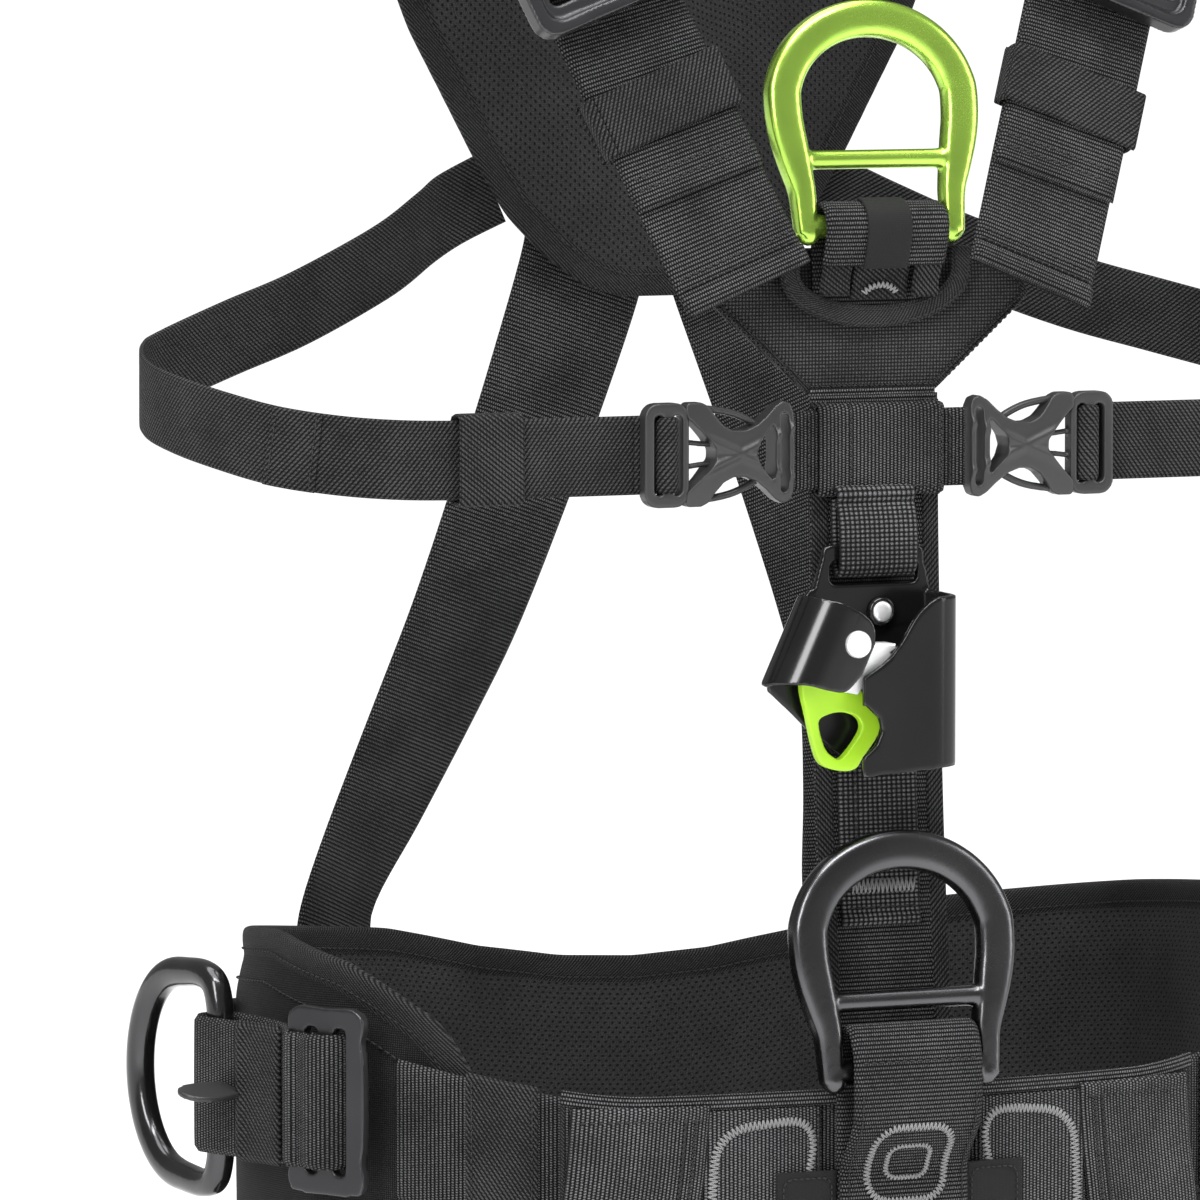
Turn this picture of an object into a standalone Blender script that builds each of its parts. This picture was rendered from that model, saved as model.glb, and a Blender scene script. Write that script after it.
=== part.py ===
"""Full-body climbing harness: padded waist belt, chest plate with rope ascender, shoulder yoke, leg loops.

Lengths below are in millimetres and are scaled to metres when a mesh is made.
Frame: +Z up, front faces -Y, +X is the wearer's left, origin at the waist centre.
"""
import math

import bmesh
import bpy
from mathutils import Vector, geometry

MM = 0.001

# Driving dimensions
WEB, WEB_T = 45.0, 2.4          # load-bearing webbing
CHEST_WEB, CHEST_T = 25.0, 1.6  # chest strap webbing
LOOP_WEB, LOOP_T = 27.6, 1.8    # ascender loop webbing
BELT_A, BELT_B, BELT_N = 174.0, 105.0, 2.6   # outer face of the belt pad, seen from above
PAD_T = 12.0
PAD_END = 57.0                  # degrees from the front centre to each pad tip
GAP = 0.4                       # play left between stacked layers
RING_T = 9.0                    # thickness of the D-ring section
VENTRAL_BAR = Vector((0, -118.6, 36))
VENTRAL_LEAN = 8.0
STERNAL_BAR = Vector((0, -94.5, 303))
STERNAL_LEAN = 9.0
SIDE_BAR = Vector((187.5, 2.0, 27.0))
SIDE_ANGLE = 80.0
CAM_AXIS = Vector((-18.8, -110.0, 172.3))
TRIGGER_AXIS = Vector((-22.0, -104.2, 161.0))
CHEST_Y = -94.5
CHEST_Z = 232.0
LEG_C = Vector((98.0, 5.0, -190.0))
LEG_TILT = 22.0


# ---------------------------------------------------------------- materials
def material(name, colour, rough, metal=0.0):
    mat = bpy.data.materials.new(name)
    mat.use_nodes = True
    shader = mat.node_tree.nodes["Principled BSDF"]
    shader.inputs["Base Color"].default_value = (*colour, 1)
    shader.inputs["Roughness"].default_value = rough
    shader.inputs["Metallic"].default_value = metal
    mat.diffuse_color = (*colour, 1)
    return mat


# ---------------------------------------------------------------- mesh helpers
def volume(verts, faces):
    total = 0.0
    for face in faces:
        a = verts[face[0]]
        for i in range(1, len(face) - 1):
            total += a.dot(verts[face[i]].cross(verts[face[i + 1]]))
    return total


def make(name, verts, faces, mat, origin=None):
    """A mesh object from points in millimetres, turned outwards, with its origin at the given point."""
    verts = [Vector(v) for v in verts]
    if volume(verts, faces) < 0:
        faces = [tuple(reversed(face)) for face in faces]
    base = Vector(origin) if origin is not None else Vector((0, 0, 0))
    mesh = bpy.data.meshes.new(name)
    mesh.from_pydata([(v - base) * MM for v in verts], [], faces)
    mesh.validate()
    mesh.materials.append(mat)
    obj = bpy.data.objects.new(name, mesh)
    obj.location = base * MM
    bpy.context.scene.collection.objects.link(obj)
    return obj


def loft(name, rings, mat, closed=False, origin=None):
    """Skin a row of equal rings of points; open rows get end caps."""
    count = len(rings[0])
    verts = [p for ring in rings for p in ring]
    faces = []
    rows = len(rings)
    for i in range(rows if closed else rows - 1):
        a, b = i * count, (i + 1) % rows * count
        for j in range(count):
            k = (j + 1) % count
            if count == 4 and j == 2:
                faces += [(a + k, b + k, b + j), (a + k, b + j, a + j)]
            elif count == 4:
                faces += [(a + j, a + k, b + k), (a + j, b + k, b + j)]
            else:
                faces.append((a + j, a + k, b + k, b + j))
    if not closed:
        faces.append(tuple(reversed(range(count))))
        faces.append(tuple((rows - 1) * count + j for j in range(count)))
    return make(name, verts, faces, mat, origin)


def listed(value, count):
    return list(value) if isinstance(value, (list, tuple)) else [value] * count


def strap_rings(path, wdir, width, thick, closed=False):
    count = len(path)
    wdirs, widths = listed(wdir, count), listed(width, count)
    rings = []
    for i, point in enumerate(path):
        before = path[i - 1] if i or closed else None
        after = path[(i + 1) % count] if i < count - 1 or closed else None
        ta = (point - before).normalized() if before is not None else None
        tb = (after - point).normalized() if after is not None else None
        tangent = ((ta or tb) + (tb or ta)).normalized()
        w = wdirs[i].normalized()
        n = tangent.cross(w).normalized()
        mitre = 1.0
        if ta is not None and tb is not None:
            mitre = min(1.0 / max(ta.dot(tangent), 0.5), 1.6)
        hw, ht = w * widths[i] / 2, n * (thick / 2 * mitre)
        rings.append([point - hw - ht, point + hw - ht, point + hw + ht, point - hw + ht])
    return rings


def catmull(values, steps):
    """A smooth run through a row of vectors, with the given number of steps between each two."""
    out = []
    last = len(values) - 1
    for i in range(last):
        p0, p1, p2, p3 = values[max(i - 1, 0)], values[i], values[i + 1], values[min(i + 2, last)]
        for k in range(steps):
            t = k / steps
            out.append(0.5 * (2 * p1 + (p2 - p0) * t + (2 * p0 - 5 * p1 + 4 * p2 - p3) * t * t
                              + (3 * p1 - p0 - 3 * p2 + p3) * t ** 3))
    return out + [values[last].copy()]


def draped(name, rows, thick, mat):
    """A strap curved across its width: rows of (inner point, outward direction) pairs."""
    rings = []
    for row in rows:
        rings.append([p for p, _ in row] + [p + n * thick for p, n in reversed(row)])
    count = len(rings[0])
    verts = [p for ring in rings for p in ring]
    faces = []
    for i in range(len(rings) - 1):
        a, b = i * count, (i + 1) * count
        for j in range(count):
            k = (j + 1) % count
            if j < count // 2:
                faces += [(a + j, a + k, b + k), (a + j, b + k, b + j)]
            else:
                faces += [(a + k, b + k, b + j), (a + k, b + j, a + j)]
    half = count // 2
    for base, turn in ((0, 1), ((len(rings) - 1) * count, -1)):
        for j in range(half - 1):
            quad = (base + j, base + j + 1, base + count - 2 - j, base + count - 1 - j)
            faces.append(quad[::-turn])
    return make(name, verts, faces, mat)


def on_belt(phi, z, off, wz, half, samples=7):
    """Points across a strap lying on the belt, with its width leaning by wz."""
    scale = (belt(phi + 1, off) - belt(phi - 1, off)).length / 2
    row = []
    for i in range(samples):
        u = (2 * i / (samples - 1) - 1) * half
        at = phi + u / scale
        n = (belt(at, 1) - belt(at, 0)).normalized()
        row.append((belt(at, off) + UP * (z + u * wz), n))
    return row


def flat_row(centre, wdir, normal, half, samples=7):
    w, n = wdir.normalized(), normal.normalized()
    return [(centre + w * ((2 * i / (samples - 1) - 1) * half), n) for i in range(samples)]


def mix_rows(a, b, t):
    return [(p.lerp(q, t), m.lerp(n, t).normalized()) for (p, m), (q, n) in zip(a, b)]


def strap(name, path, wdir, width, thick, mat, closed=False, origin=None):
    path = [Vector(p) for p in path]
    rings = strap_rings(path, wdir, width, thick, closed)
    return loft(name, rings, mat, closed, origin)


def sheet(name, path, lows, highs, thick, mat, frame=None, origin=None):
    """A bent plate: a path seen from above, with its own bottom and top height at each point."""
    pts = [Vector((p[0], p[1], 0)) for p in path]
    rings = []
    for i, point in enumerate(pts):
        ta = (point - pts[i - 1]).normalized() if i else None
        tb = (pts[i + 1] - point).normalized() if i < len(pts) - 1 else None
        t = ((ta or tb) + (tb or ta)).normalized()
        n = Vector((t.y, -t.x, 0))
        mitre = min(1.0 / max(ta.dot(t), 0.5), 1.6) if ta and tb else 1.0
        off = n * (thick / 2 * mitre)
        low, high = Vector((0, 0, lows[i])), Vector((0, 0, highs[i]))
        ring = [point - off + low, point - off + high, point + off + high, point + off + low]
        rings.append([frame(p) if frame else p for p in ring])
    return loft(name, rings, mat, False, origin)


def offset_polygon(points, distance):
    """Each point of a closed 2D outline moved along the mean normal of its two sides."""
    area = sum(p[0] * q[1] - q[0] * p[1] for p, q in zip(points, points[1:] + points[:1]))
    sign = 1 if area > 0 else -1
    moved = []
    for i, p in enumerate(points):
        a, b = points[i - 1], points[(i + 1) % len(points)]
        e1 = Vector((p[0] - a[0], p[1] - a[1])).normalized()
        e2 = Vector((b[0] - p[0], b[1] - p[1])).normalized()
        n1, n2 = Vector((e1.y, -e1.x)), Vector((e2.y, -e2.x))
        n = n1 + n2
        if n.length < 1e-6:
            n = n1.copy()
        n.normalize()
        reach = distance / max(n.dot(n1), 0.5)
        moved.append((p[0] + n.x * reach * sign, p[1] + n.y * reach * sign))
    return moved


def plate(name, outline, holes, place, thick, mat, chamfer=0.0, origin=None):
    """A flat plate with holes; place(u, v, w) puts a point of it in space, w across the thickness."""
    loops = [outline] + list(holes)
    half = thick / 2
    levels = [(-half, True), (-half + chamfer, False), (half - chamfer, False), (half, True)]
    if chamfer == 0.0:
        levels = [(-half, False), (half, False)]
    inset = [offset_polygon(loops[0], -chamfer)] + [offset_polygon(h, chamfer) for h in loops[1:]]
    verts, faces, starts = [], [], []
    for w, small in levels:
        starts.append(len(verts))
        for loop in inset if small else loops:
            verts += [place(u, v, w) for u, v in loop]
    end = inset if chamfer else loops
    tris = geometry.tessellate_polygon([[Vector((u, v, 0)) for u, v in loop] for loop in end])
    faces += [tuple(starts[0] + i for i in tri) for tri in tris]
    faces += [tuple(starts[-1] + i for i in reversed(tri)) for tri in tris]
    # the caps from the tessellation may face either way, so the walls are made to match them
    wall = []
    for a, b in zip(starts, starts[1:]):
        at = 0
        for loop in loops:
            n = len(loop)
            for j in range(n):
                k = (j + 1) % n
                wall.append((a + at + j, a + at + k, b + at + k, b + at + j))
            at += n
    mesh = bpy.data.meshes.new(name)
    base = Vector(origin) if origin is not None else Vector((0, 0, 0))
    mesh.from_pydata([(Vector(v) - base) * MM for v in verts], [], faces + wall)
    work = bmesh.new()
    work.from_mesh(mesh)
    bmesh.ops.recalc_face_normals(work, faces=work.faces)
    work.to_mesh(mesh)
    work.free()
    mesh.materials.append(mat)
    obj = bpy.data.objects.new(name, mesh)
    obj.location = base * MM
    bpy.context.scene.collection.objects.link(obj)
    return obj


def boolean(obj, cutter, operation):
    cutter.hide_render = True
    cutter.display_type = "WIRE"
    mod = obj.modifiers.new(operation.lower(), "BOOLEAN")
    mod.operation = operation
    mod.solver = "EXACT"
    mod.object = cutter


def box(name, low, high, mat):
    x0, y0, z0 = low
    x1, y1, z1 = high
    rings = [[(x0, y0, z), (x1, y0, z), (x1, y1, z), (x0, y1, z)] for z in (z0, z1)]
    return loft(name, [[Vector(p) for p in ring] for ring in rings], mat)


def cylinder(name, centre, axis, radii, stations, mat, sides=20, origin=None):
    """A turned pin: radius at each station along its axis."""
    axis = Vector(axis).normalized()
    side = axis.orthogonal().normalized()
    other = axis.cross(side)
    rings = []
    for r, s in zip(radii, stations):
        c = Vector(centre) + axis * s
        rings.append([c + (side * math.cos(2 * math.pi * i / sides)
                           + other * math.sin(2 * math.pi * i / sides)) * r for i in range(sides)])
    return loft(name, rings, mat, False, origin)


def arc(cx, cy, rx, ry, a0, a1, steps):
    return [(cx + rx * math.cos(math.radians(a0 + (a1 - a0) * i / steps)),
             cy + ry * math.sin(math.radians(a0 + (a1 - a0) * i / steps))) for i in range(steps + 1)]


def rounded(w, h, r, cx=0.0, cy=0.0, steps=4):
    x, y = w / 2 - r, h / 2 - r
    return (arc(cx + x, cy + y, r, r, 0, 90, steps) + arc(cx - x, cy + y, r, r, 90, 180, steps)
            + arc(cx - x, cy - y, r, r, 180, 270, steps) + arc(cx + x, cy - y, r, r, 270, 360, steps))


def smooth(x, a, b):
    t = min(max((x - a) / (b - a), 0.0), 1.0)
    return t * t * (3 - 2 * t)


def table(x, pairs):
    for (xa, ya), (xb, yb) in zip(pairs, pairs[1:]):
        if x <= xb:
            return ya + (yb - ya) * (max(x, xa) - xa) / (xb - xa)
    return pairs[-1][1]


# ---------------------------------------------------------------- belt curves
def belt(phi, off):
    """Point of the belt seen from above: phi in degrees, 0 at the front, 90 on the +X side."""
    s, c = math.sin(math.radians(phi)), math.cos(math.radians(phi))
    r = ((abs(s) / BELT_A) ** BELT_N + (abs(c) / BELT_B) ** BELT_N) ** (-1 / BELT_N)
    x, y = r * s, -r * c
    n = Vector((math.copysign(abs(x) ** (BELT_N - 1) / BELT_A ** BELT_N, x),
                math.copysign(abs(y) ** (BELT_N - 1) / BELT_B ** BELT_N, y), 0)).normalized()
    return Vector((x, y, 0)) + n * off


def band_z(phi):
    """Height of the middle of the belt webbing: it drops from the hips to the front."""
    a = abs((phi + 180) % 360 - 180)
    return 5.0 + 21.5 * smooth(a, 40, 85) - 16.5 * smooth(a, 95, 150)


def band_path(phi0, phi1, step, off):
    count = max(2, round(abs(phi1 - phi0) / step))
    path = []
    for i in range(count + 1):
        phi = phi0 + (phi1 - phi0) * i / count
        path.append(belt(phi, off) + Vector((0, 0, band_z(phi))))
    return path


PAD_TOP = [(57, 40), (62, 51), (70, 64), (75, 70), (90, 76), (105, 72), (120, 67), (135, 62.5),
           (150, 54), (165, 49), (180, 47.5)]
PAD_LOW = [(57, -14), (64, -30), (75, -44), (90, -54), (120, -60), (150, -66), (180, -70)]
UP = Vector((0, 0, 1))


def pad_ring(inner, outer, low, high, r):
    """Rounded upright section: inner and outer are points seen from above."""
    d = (outer - inner)
    t = d.length
    d.normalize()
    ring = []
    for u, v in (arc(t - r, high - r, r, r, 0, 90, 2) + arc(r, high - r, r, r, 90, 180, 2)
                 + arc(r, low + r, r, r, 180, 270, 2) + arc(t - r, low + r, r, r, 270, 360, 2)):
        ring.append(inner + d * u + Vector((0, 0, v)))
    return ring


def tube_strap(name, centre, along, side, out, w, t, length, skin, mat, origin=None):
    """A flat sleeve: skin thick, round a w by t space, length long."""
    path = [centre + side * u + out * v for u, v in rounded(w + skin, t + skin, min(t + skin, 3.0) / 2, steps=2)]
    return strap(name, path[:-1], along, length, skin, mat, True, origin)


# ---------------------------------------------------------------- scene
for old in list(bpy.data.objects):
    bpy.data.objects.remove(old)

M = {
    "webbing": material("webbing", (0.022, 0.022, 0.023), 0.8),
    "elastic": material("elastic", (0.016, 0.016, 0.017), 0.85),
    "padding": material("padding", (0.013, 0.013, 0.014), 0.9),
    "plate_fabric": material("plate_fabric", (0.018, 0.018, 0.019), 0.85),
    "loop_webbing": material("loop_webbing", (0.03, 0.03, 0.031), 0.75),
    "black_alloy": material("black_alloy", (0.03, 0.03, 0.032), 0.35, 0.9),
    "green_alloy": material("green_alloy", (0.36, 0.68, 0.05), 0.2, 0.8),
    "frame_steel": material("frame_steel", (0.02, 0.02, 0.022), 0.35, 0.6),
    "bare_steel": material("bare_steel", (0.75, 0.75, 0.76), 0.25, 1.0),
    "buckle_plastic": material("buckle_plastic", (0.03, 0.03, 0.032), 0.4),
    "green_plastic": material("green_plastic", (0.45, 0.82, 0.03), 0.4),
    "buckle_metal": material("buckle_metal", (0.1, 0.1, 0.105), 0.4, 0.9),
}


# ---------------------------------------------------------------- D-rings
def d_ring(name, bar, lean, scale, mat, flip=1.0):
    """D-ring on a webbing bar: crown above, crossbar a third of the way up. Origin on the bar."""
    half = [(27.4, -1.0), (27.8, 12.0), (31.2, 28.0), (32.5, 36.0)] + arc(0, 41, 33, 29.0, 8, 90, 9)
    widths = [8.0, 8.8, 12.0, 12.4] + [12.4 + 0.3 * i / 9 for i in range(10)]
    outer, inner = [], []
    for i, p in enumerate(half):
        a, b = half[max(i - 1, 0)], half[min(i + 1, len(half) - 1)]
        t = Vector((b[0] - a[0], b[1] - a[1])).normalized()
        n = Vector((t.y, -t.x)) if i < len(half) - 1 else Vector((0, 1))
        outer.append((p[0] + n.x * widths[i] / 2, p[1] + n.y * widths[i] / 2))
        inner.append((p[0] - n.x * widths[i] / 2, p[1] - n.y * widths[i] / 2))
    inner_x = lambda z: table(z, sorted((p[1], p[0]) for p in inner[:5]))
    right = [(24.0, -4.0), (28.5, -5.0)] + outer
    ring = right + [(-x, z) for x, z in reversed(right[:-1])]
    top = [(inner_x(25.2), 25.2)] + [p for p in inner if p[1] > 28]
    upper = top + [(-x, z) for x, z in reversed(top[:-1])]
    low = [(inner_x(5.0) - 0.3, 4.0), (inner_x(12), 12.0), (inner_x(19.6), 19.6)]
    lower = low + [(-x, z) for x, z in reversed(low)]
    c, s = math.cos(math.radians(lean)), math.sin(math.radians(lean))

    def place(u, v, w):
        u, v = u * scale, v * scale
        return Vector((bar.x + u, bar.y + flip * (v * s + w * c), bar.z + v * c - w * s))

    return plate(name, ring, [upper, lower], place, RING_T * scale, mat, 2.4 * scale, bar)


# ---------------------------------------------------------------- waist belt
def build_belt():
    rings = []
    stations = [PAD_END, 58.5, 61, 64, 68] + list(range(73, 288, 7)) + [292, 296, 299, 301.5, 303]
    for phi in stations:
        a = abs((phi + 180) % 360 - 180)
        pinch = smooth(a, PAD_END - 6, PAD_END + 7)
        top, low = table(a, PAD_TOP), table(a, PAD_LOW)
        mid = (top + low) / 2
        top, low = mid + (top - mid) * pinch, mid + (low - mid) * pinch
        rings.append(pad_ring(belt(phi, -PAD_T), belt(phi, 0), low, top, 5.0))
    loft("belt_pad", rings, M["padding"])
    strap("belt_rear_webbing", band_path(99, 261, 3.5, GAP + 0.2 + WEB_T / 2), UP, WEB, WEB_T, M["webbing"])
    strap("belt_front_band", band_path(-67, 67, 5, GAP + WEB_T / 2), UP, WEB, WEB_T, M["webbing"])
    panel = band_path(-50, 50, 5, 2 * GAP + 1.5 * WEB_T)
    strap("front_panel", panel, UP, 50, WEB_T, M["webbing"])
    for s, side in ((-1, "r"), (1, "l")):
        phi = s * 56.0
        out = (belt(phi, 1) - belt(phi, 0)).normalized()
        along = out.cross(UP)
        centre = belt(phi, GAP + WEB_T / 2) + UP * band_z(phi) + out * 1.1
        loop = [centre + UP * u + out * v for u, v in rounded(WEB + 3.4, WEB_T + 4.8, 1.6, steps=1)]
        # only the outer wall and the folded edges: the band runs between this and the pad
        cut = [p for p in loop if (p - centre).dot(out) > -1.2]
        top = [p for p in cut if (p - centre).z > 0]
        bottom = [p for p in cut if (p - centre).z < 0]
        key = lambda p: (p - centre).dot(out)
        path = sorted(top, key=key) + sorted(bottom, key=key, reverse=True)
        strap(f"belt_keeper_{side}", path, along, 23, 1.4, M["elastic"])


def build_side(s, side):
    """Hip D-ring with its webbing loop and the strap adjuster."""
    bar = Vector((s * SIDE_BAR.x, SIDE_BAR.y, SIDE_BAR.z))
    a = math.radians(SIDE_ANGLE)
    d = Vector((s * math.cos(a), math.sin(a), 0))
    n = d.cross(UP)
    half = [(0.0, 0.0), (0.0, 26.0), (3.0, 32.5), (10.0, 34.0), (22.0, 33.0)] + arc(25, 0, 25.5, 33, 82, 0, 8)
    wide = [8.2, 8.2, 8.4, 8.6, 9.4] + [10.0] * 9
    outer, inner = [], []
    for i, p in enumerate(half):
        q0, q1 = half[max(i - 1, 0)], half[min(i + 1, len(half) - 1)]
        t = Vector((q1[0] - q0[0], q1[1] - q0[1])).normalized()
        m = Vector((-t.y, t.x))
        if i == 0:
            m = Vector((-1, 0))
        if i == len(half) - 1:
            m = Vector((1, 0))
        outer.append((p[0] + m.x * wide[i] / 2, p[1] + m.y * wide[i] / 2))
        inner.append((p[0] - m.x * wide[i] / 2, p[1] - m.y * wide[i] / 2))
    outer = outer + [(u, -v) for u, v in reversed(outer[1:-1])]
    inner = inner[:2] + inner[3:]
    inner = inner + [(u, -v) for u, v in reversed(inner[1:-1])]
    plate(f"side_ring_{side}", outer, [inner], lambda u, v, w: bar + d * u + UP * v + n * w,
          8.6, M["black_alloy"], 2.3, bar)

    z = bar.z
    inner_leg = [belt(s * p, GAP + WEB_T / 2) + UP * band_z(p) for p in (76, 81, 86)]
    wrap = [Vector((s * (SIDE_BAR.x + 7.4 * math.cos(math.radians(q))),
                    SIDE_BAR.y + 7.4 * math.sin(math.radians(q)), z)) for q in (175, 135, 95, 50, 5, -35)]
    front = [Vector((s * x, y, z)) for x, y in ((188.6, -14), (183.2, -26), (178.6, -36), (176.6, -41))]
    strap(f"side_loop_{side}", inner_leg + wrap + front, UP, WEB - 1, WEB_T, M["webbing"])

    # adjuster: two-slot metal frame standing off the belt, tilting on its rear edge
    phi = s * 72.5
    out = (belt(phi, 1) - belt(phi, 0)).normalized()
    back = UP.cross(out) * s
    centre = belt(phi, 13.0) + UP * 28
    axis = centre + back * 12.0
    slots = [rounded(5.2, 47.0, 2.2, -5.6, 0, 2), rounded(5.2, 47.0, 2.2, 5.6, 0, 2)]
    plate(f"side_adjuster_{side}", rounded(30, 60, 3.5, steps=3), slots,
          lambda u, v, w: centre + back * u + UP * v + out * w, 3.6, M["buckle_metal"], 0.8, axis)


# ---------------------------------------------------------------- front of the belt and body strap
def build_front():
    y_panel = -(BELT_B + 2 * GAP + 2 * WEB_T)
    path = [Vector((0, y, z)) for y, z in (
        (-90.7, 249.2), (-90.7, 232), (-90.9, 214), (-92.0, 180), (-93.4, 150), (-95.2, 120), (-97.2, 95),
        (-99.4, 72), (-101.6, 50), (-103.2, 32), (-103.5, 14), (-103.5, -18))]
    strap("front_strap", path, Vector((1, 0, 0)), WEB, WEB_T, M["webbing"])

    b = VENTRAL_BAR
    y0 = y_panel - GAP - WEB_T / 2
    y1 = y0 - GAP - WEB_T
    wrap = [(b.y + 6.9 * math.cos(math.radians(q)), b.z + 14.5 * math.sin(math.radians(q)))
            for q in (0, 30, 60, 90, 120, 150, 180)]
    path = [(y0, -62), (y0, 0), (y0, 31)] + wrap + [(b.y - 6.0, 20), (y1 - 0.6, 6), (y1, -8), (y1, -62)]
    strap("ventral_strap", [Vector((0, y, z)) for y, z in path], Vector((1, 0, 0)), WEB, WEB_T, M["webbing"])
    d_ring("ventral_ring", b, VENTRAL_LEAN, 1.0, M["black_alloy"])

    for s, side in ((-1, "r"), (1, "l")):
        rows = []
        for z, phi in ((27, 40.5), (5, 41.2), (-23, 42.5)):
            rows.append(on_belt(s * phi, z, 3 * GAP + 2 * WEB_T, 0.0, WEB / 2))
        low = [Vector((s * x, y, z)) for x, y, z in (
            (92, -101.5, -60), (95, -97.5, -100), (97, -92.0, -140), (98, -88.2, -170), (98, -87.6, -196))]
        for i, p in enumerate(low):
            phi = math.radians(s * (34 - 7 * i))
            n = Vector((math.sin(phi), -math.cos(phi), 0))
            rows.append(flat_row(p, Vector((math.cos(phi), math.sin(phi), 0)), n, WEB / 2))
            if i == 0:
                rows[-1] = mix_rows(rows[-1], [(q + UP * -37, m) for q, m in rows[-2]], 0.5)
        draped(f"leg_riser_{side}", rows, WEB_T, M["webbing"])


# ---------------------------------------------------------------- chest
def build_chest():
    outline = [(-22.4, 249.6), (22.4, 249.6), (57, 280), (50, 292), (30, 296), (-30, 296), (-50, 292), (-57, 280)]
    plate("chest_plate", outline, [], lambda u, v, w: Vector((u, -87.6 + 0.03 * (v - 250) + w, v)), 3.0,
          M["plate_fabric"], 0.8)
    b = STERNAL_BAR
    wrap = [(b.y + 6.9 * math.cos(math.radians(q)), b.z + 6.9 * math.sin(math.radians(q)))
            for q in (185, 140, 90, 40, -5)]
    path = [(-94.7, 276), (-95.2, 284), (-99.6, 295)] + wrap + [(-89.6, 296), (-90.4, 288), (-90.6, 276)]
    strap("sternal_loop", [Vector((0, y, z)) for y, z in path], Vector((1, 0, 0)), WEB - 2, 2.0, M["webbing"])
    d_ring("sternal_ring", b, STERNAL_LEAN, 0.945, M["green_alloy"])

    y = CHEST_Y
    strap("chest_centre_strap", [Vector((x, y, CHEST_Z)) for x in (-30.4, -15, 15, 30.4)], UP, CHEST_WEB,
          CHEST_T, M["elastic"])
    loop = [Vector((0, y + u, CHEST_Z + v)) for u, v in rounded(2.3 + 1.2, 27.2, 1.2, steps=1)]
    strap("chest_sleeve", loop, Vector((1, 0, 0)), 44, 1.1, M["webbing"], True)
    for s, side in ((-1, "r"), (1, "l")):
        build_chest_side(s, side, y)


def build_chest_side(s, side, y):
    place = lambda u, v, w: Vector((s * (31.0 + u), y + w, CHEST_Z + v))
    female = [(0, -12.5), (3, -15.0), (9, -15.8), (13, -12.5), (17, -8.6), (21, -8.6), (26, -12.5), (30, -16),
              (35, -16.2), (35, -9.0), (29.5, -4.6), (29.5, 4.6), (35, 9.0), (35, 16.2), (30, 16),
              (26, 12.5), (21, 8.6), (17, 8.6), (13, 12.5), (9, 15.8), (3, 15.0), (0, 12.5)]
    slot = rounded(3.0, 25.6, 1.2, 4.6, 0, 2)
    obj = plate(f"chest_female_{side}", female, [slot], place, 9.2, M["buckle_plastic"], 1.0)
    low, high = place(8.2, -11.4, -2.6), place(40, 11.4, 2.6)
    corners = [[min(p, q) for p, q in zip(low, high)], [max(p, q) for p, q in zip(low, high)]]
    cut = box(f"cut_female_{side}", corners[0], corners[1], M["buckle_plastic"])
    boolean(obj, cut, "DIFFERENCE")

    male = [(36, -16.2), (48.5, -16.2), (50, -14.5), (50, 14.5), (48.5, 16.2), (36, 16.2), (35.4, 10.6),
            (27, 9.6), (18, 10.4), (11, 10.6), (10.4, 7.6), (18, 6.6), (27, 6.2), (32, 5.4), (32, 2.2),
            (15, 2.0), (14.4, 0), (15, -2.0), (32, -2.2), (32, -5.4), (27, -6.2), (18, -6.6), (10.4, -7.6),
            (11, -10.6), (18, -10.4), (27, -9.6), (35.4, -10.6)]
    bars = [rounded(3.2, 25.6, 1.2, 39.6, 0, 2), rounded(3.2, 25.6, 1.2, 45.6, 0, 2)]
    plate(f"chest_male_{side}", male, bars, place, 4.4, M["buckle_plastic"], 0.6)

    # webbing tail sewn round the ladder bar: it rides with the male half and laps the long strap
    y_tail = y + 2.2 + GAP + CHEST_T / 2
    run = Vector((s * 1.0, 0.0, 0.0))
    start = Vector((s * 71, y_tail, CHEST_Z))
    tail = [start, start + run * 12, start + run * 40, start + run * 66]
    strap(f"chest_tail_{side}", tail, UP, CHEST_WEB, CHEST_T, M["elastic"])
    inward = Vector((0, 1, 0))
    lap = CHEST_T + GAP
    long_strap = [start + run * 52 + inward * lap, start + run * 74 + inward * lap]
    long_strap += [Vector((s * x, yy, z)) for x, yy, z in (
        (163.5, -86.4, 232.6), (180, -78, 234), (195, -65, 236.6), (206, -46, 240.6), (212.4, -24, 244.4),
        (213.5, -2, 248), (208, 15, 252.5), (195.7, 28, 255.6), (167.8, 42, 263.8), (139.5, 52.5, 272.3),
        (105, 66, 286), (84, 78.5, 296.5), (73, 83.6, 302.2), (58, 84.2, 309))]
    wd = []
    for i, p in enumerate(long_strap):
        a = long_strap[max(i - 1, 0)]
        b = long_strap[min(i + 1, len(long_strap) - 1)]
        t = (b - a).normalized()
        wd.append((UP - t * UP.dot(t)).normalized())
    strap(f"chest_strap_{side}", long_strap, wd, CHEST_WEB, CHEST_T, M["elastic"])
    mid = start + run * 62 + inward * lap / 2
    tube_strap(f"chest_keeper_{side}", mid, run, UP, inward, CHEST_WEB + 1.4, 2 * CHEST_T + GAP + 1.4, 22,
               1.2, M["elastic"])


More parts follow.
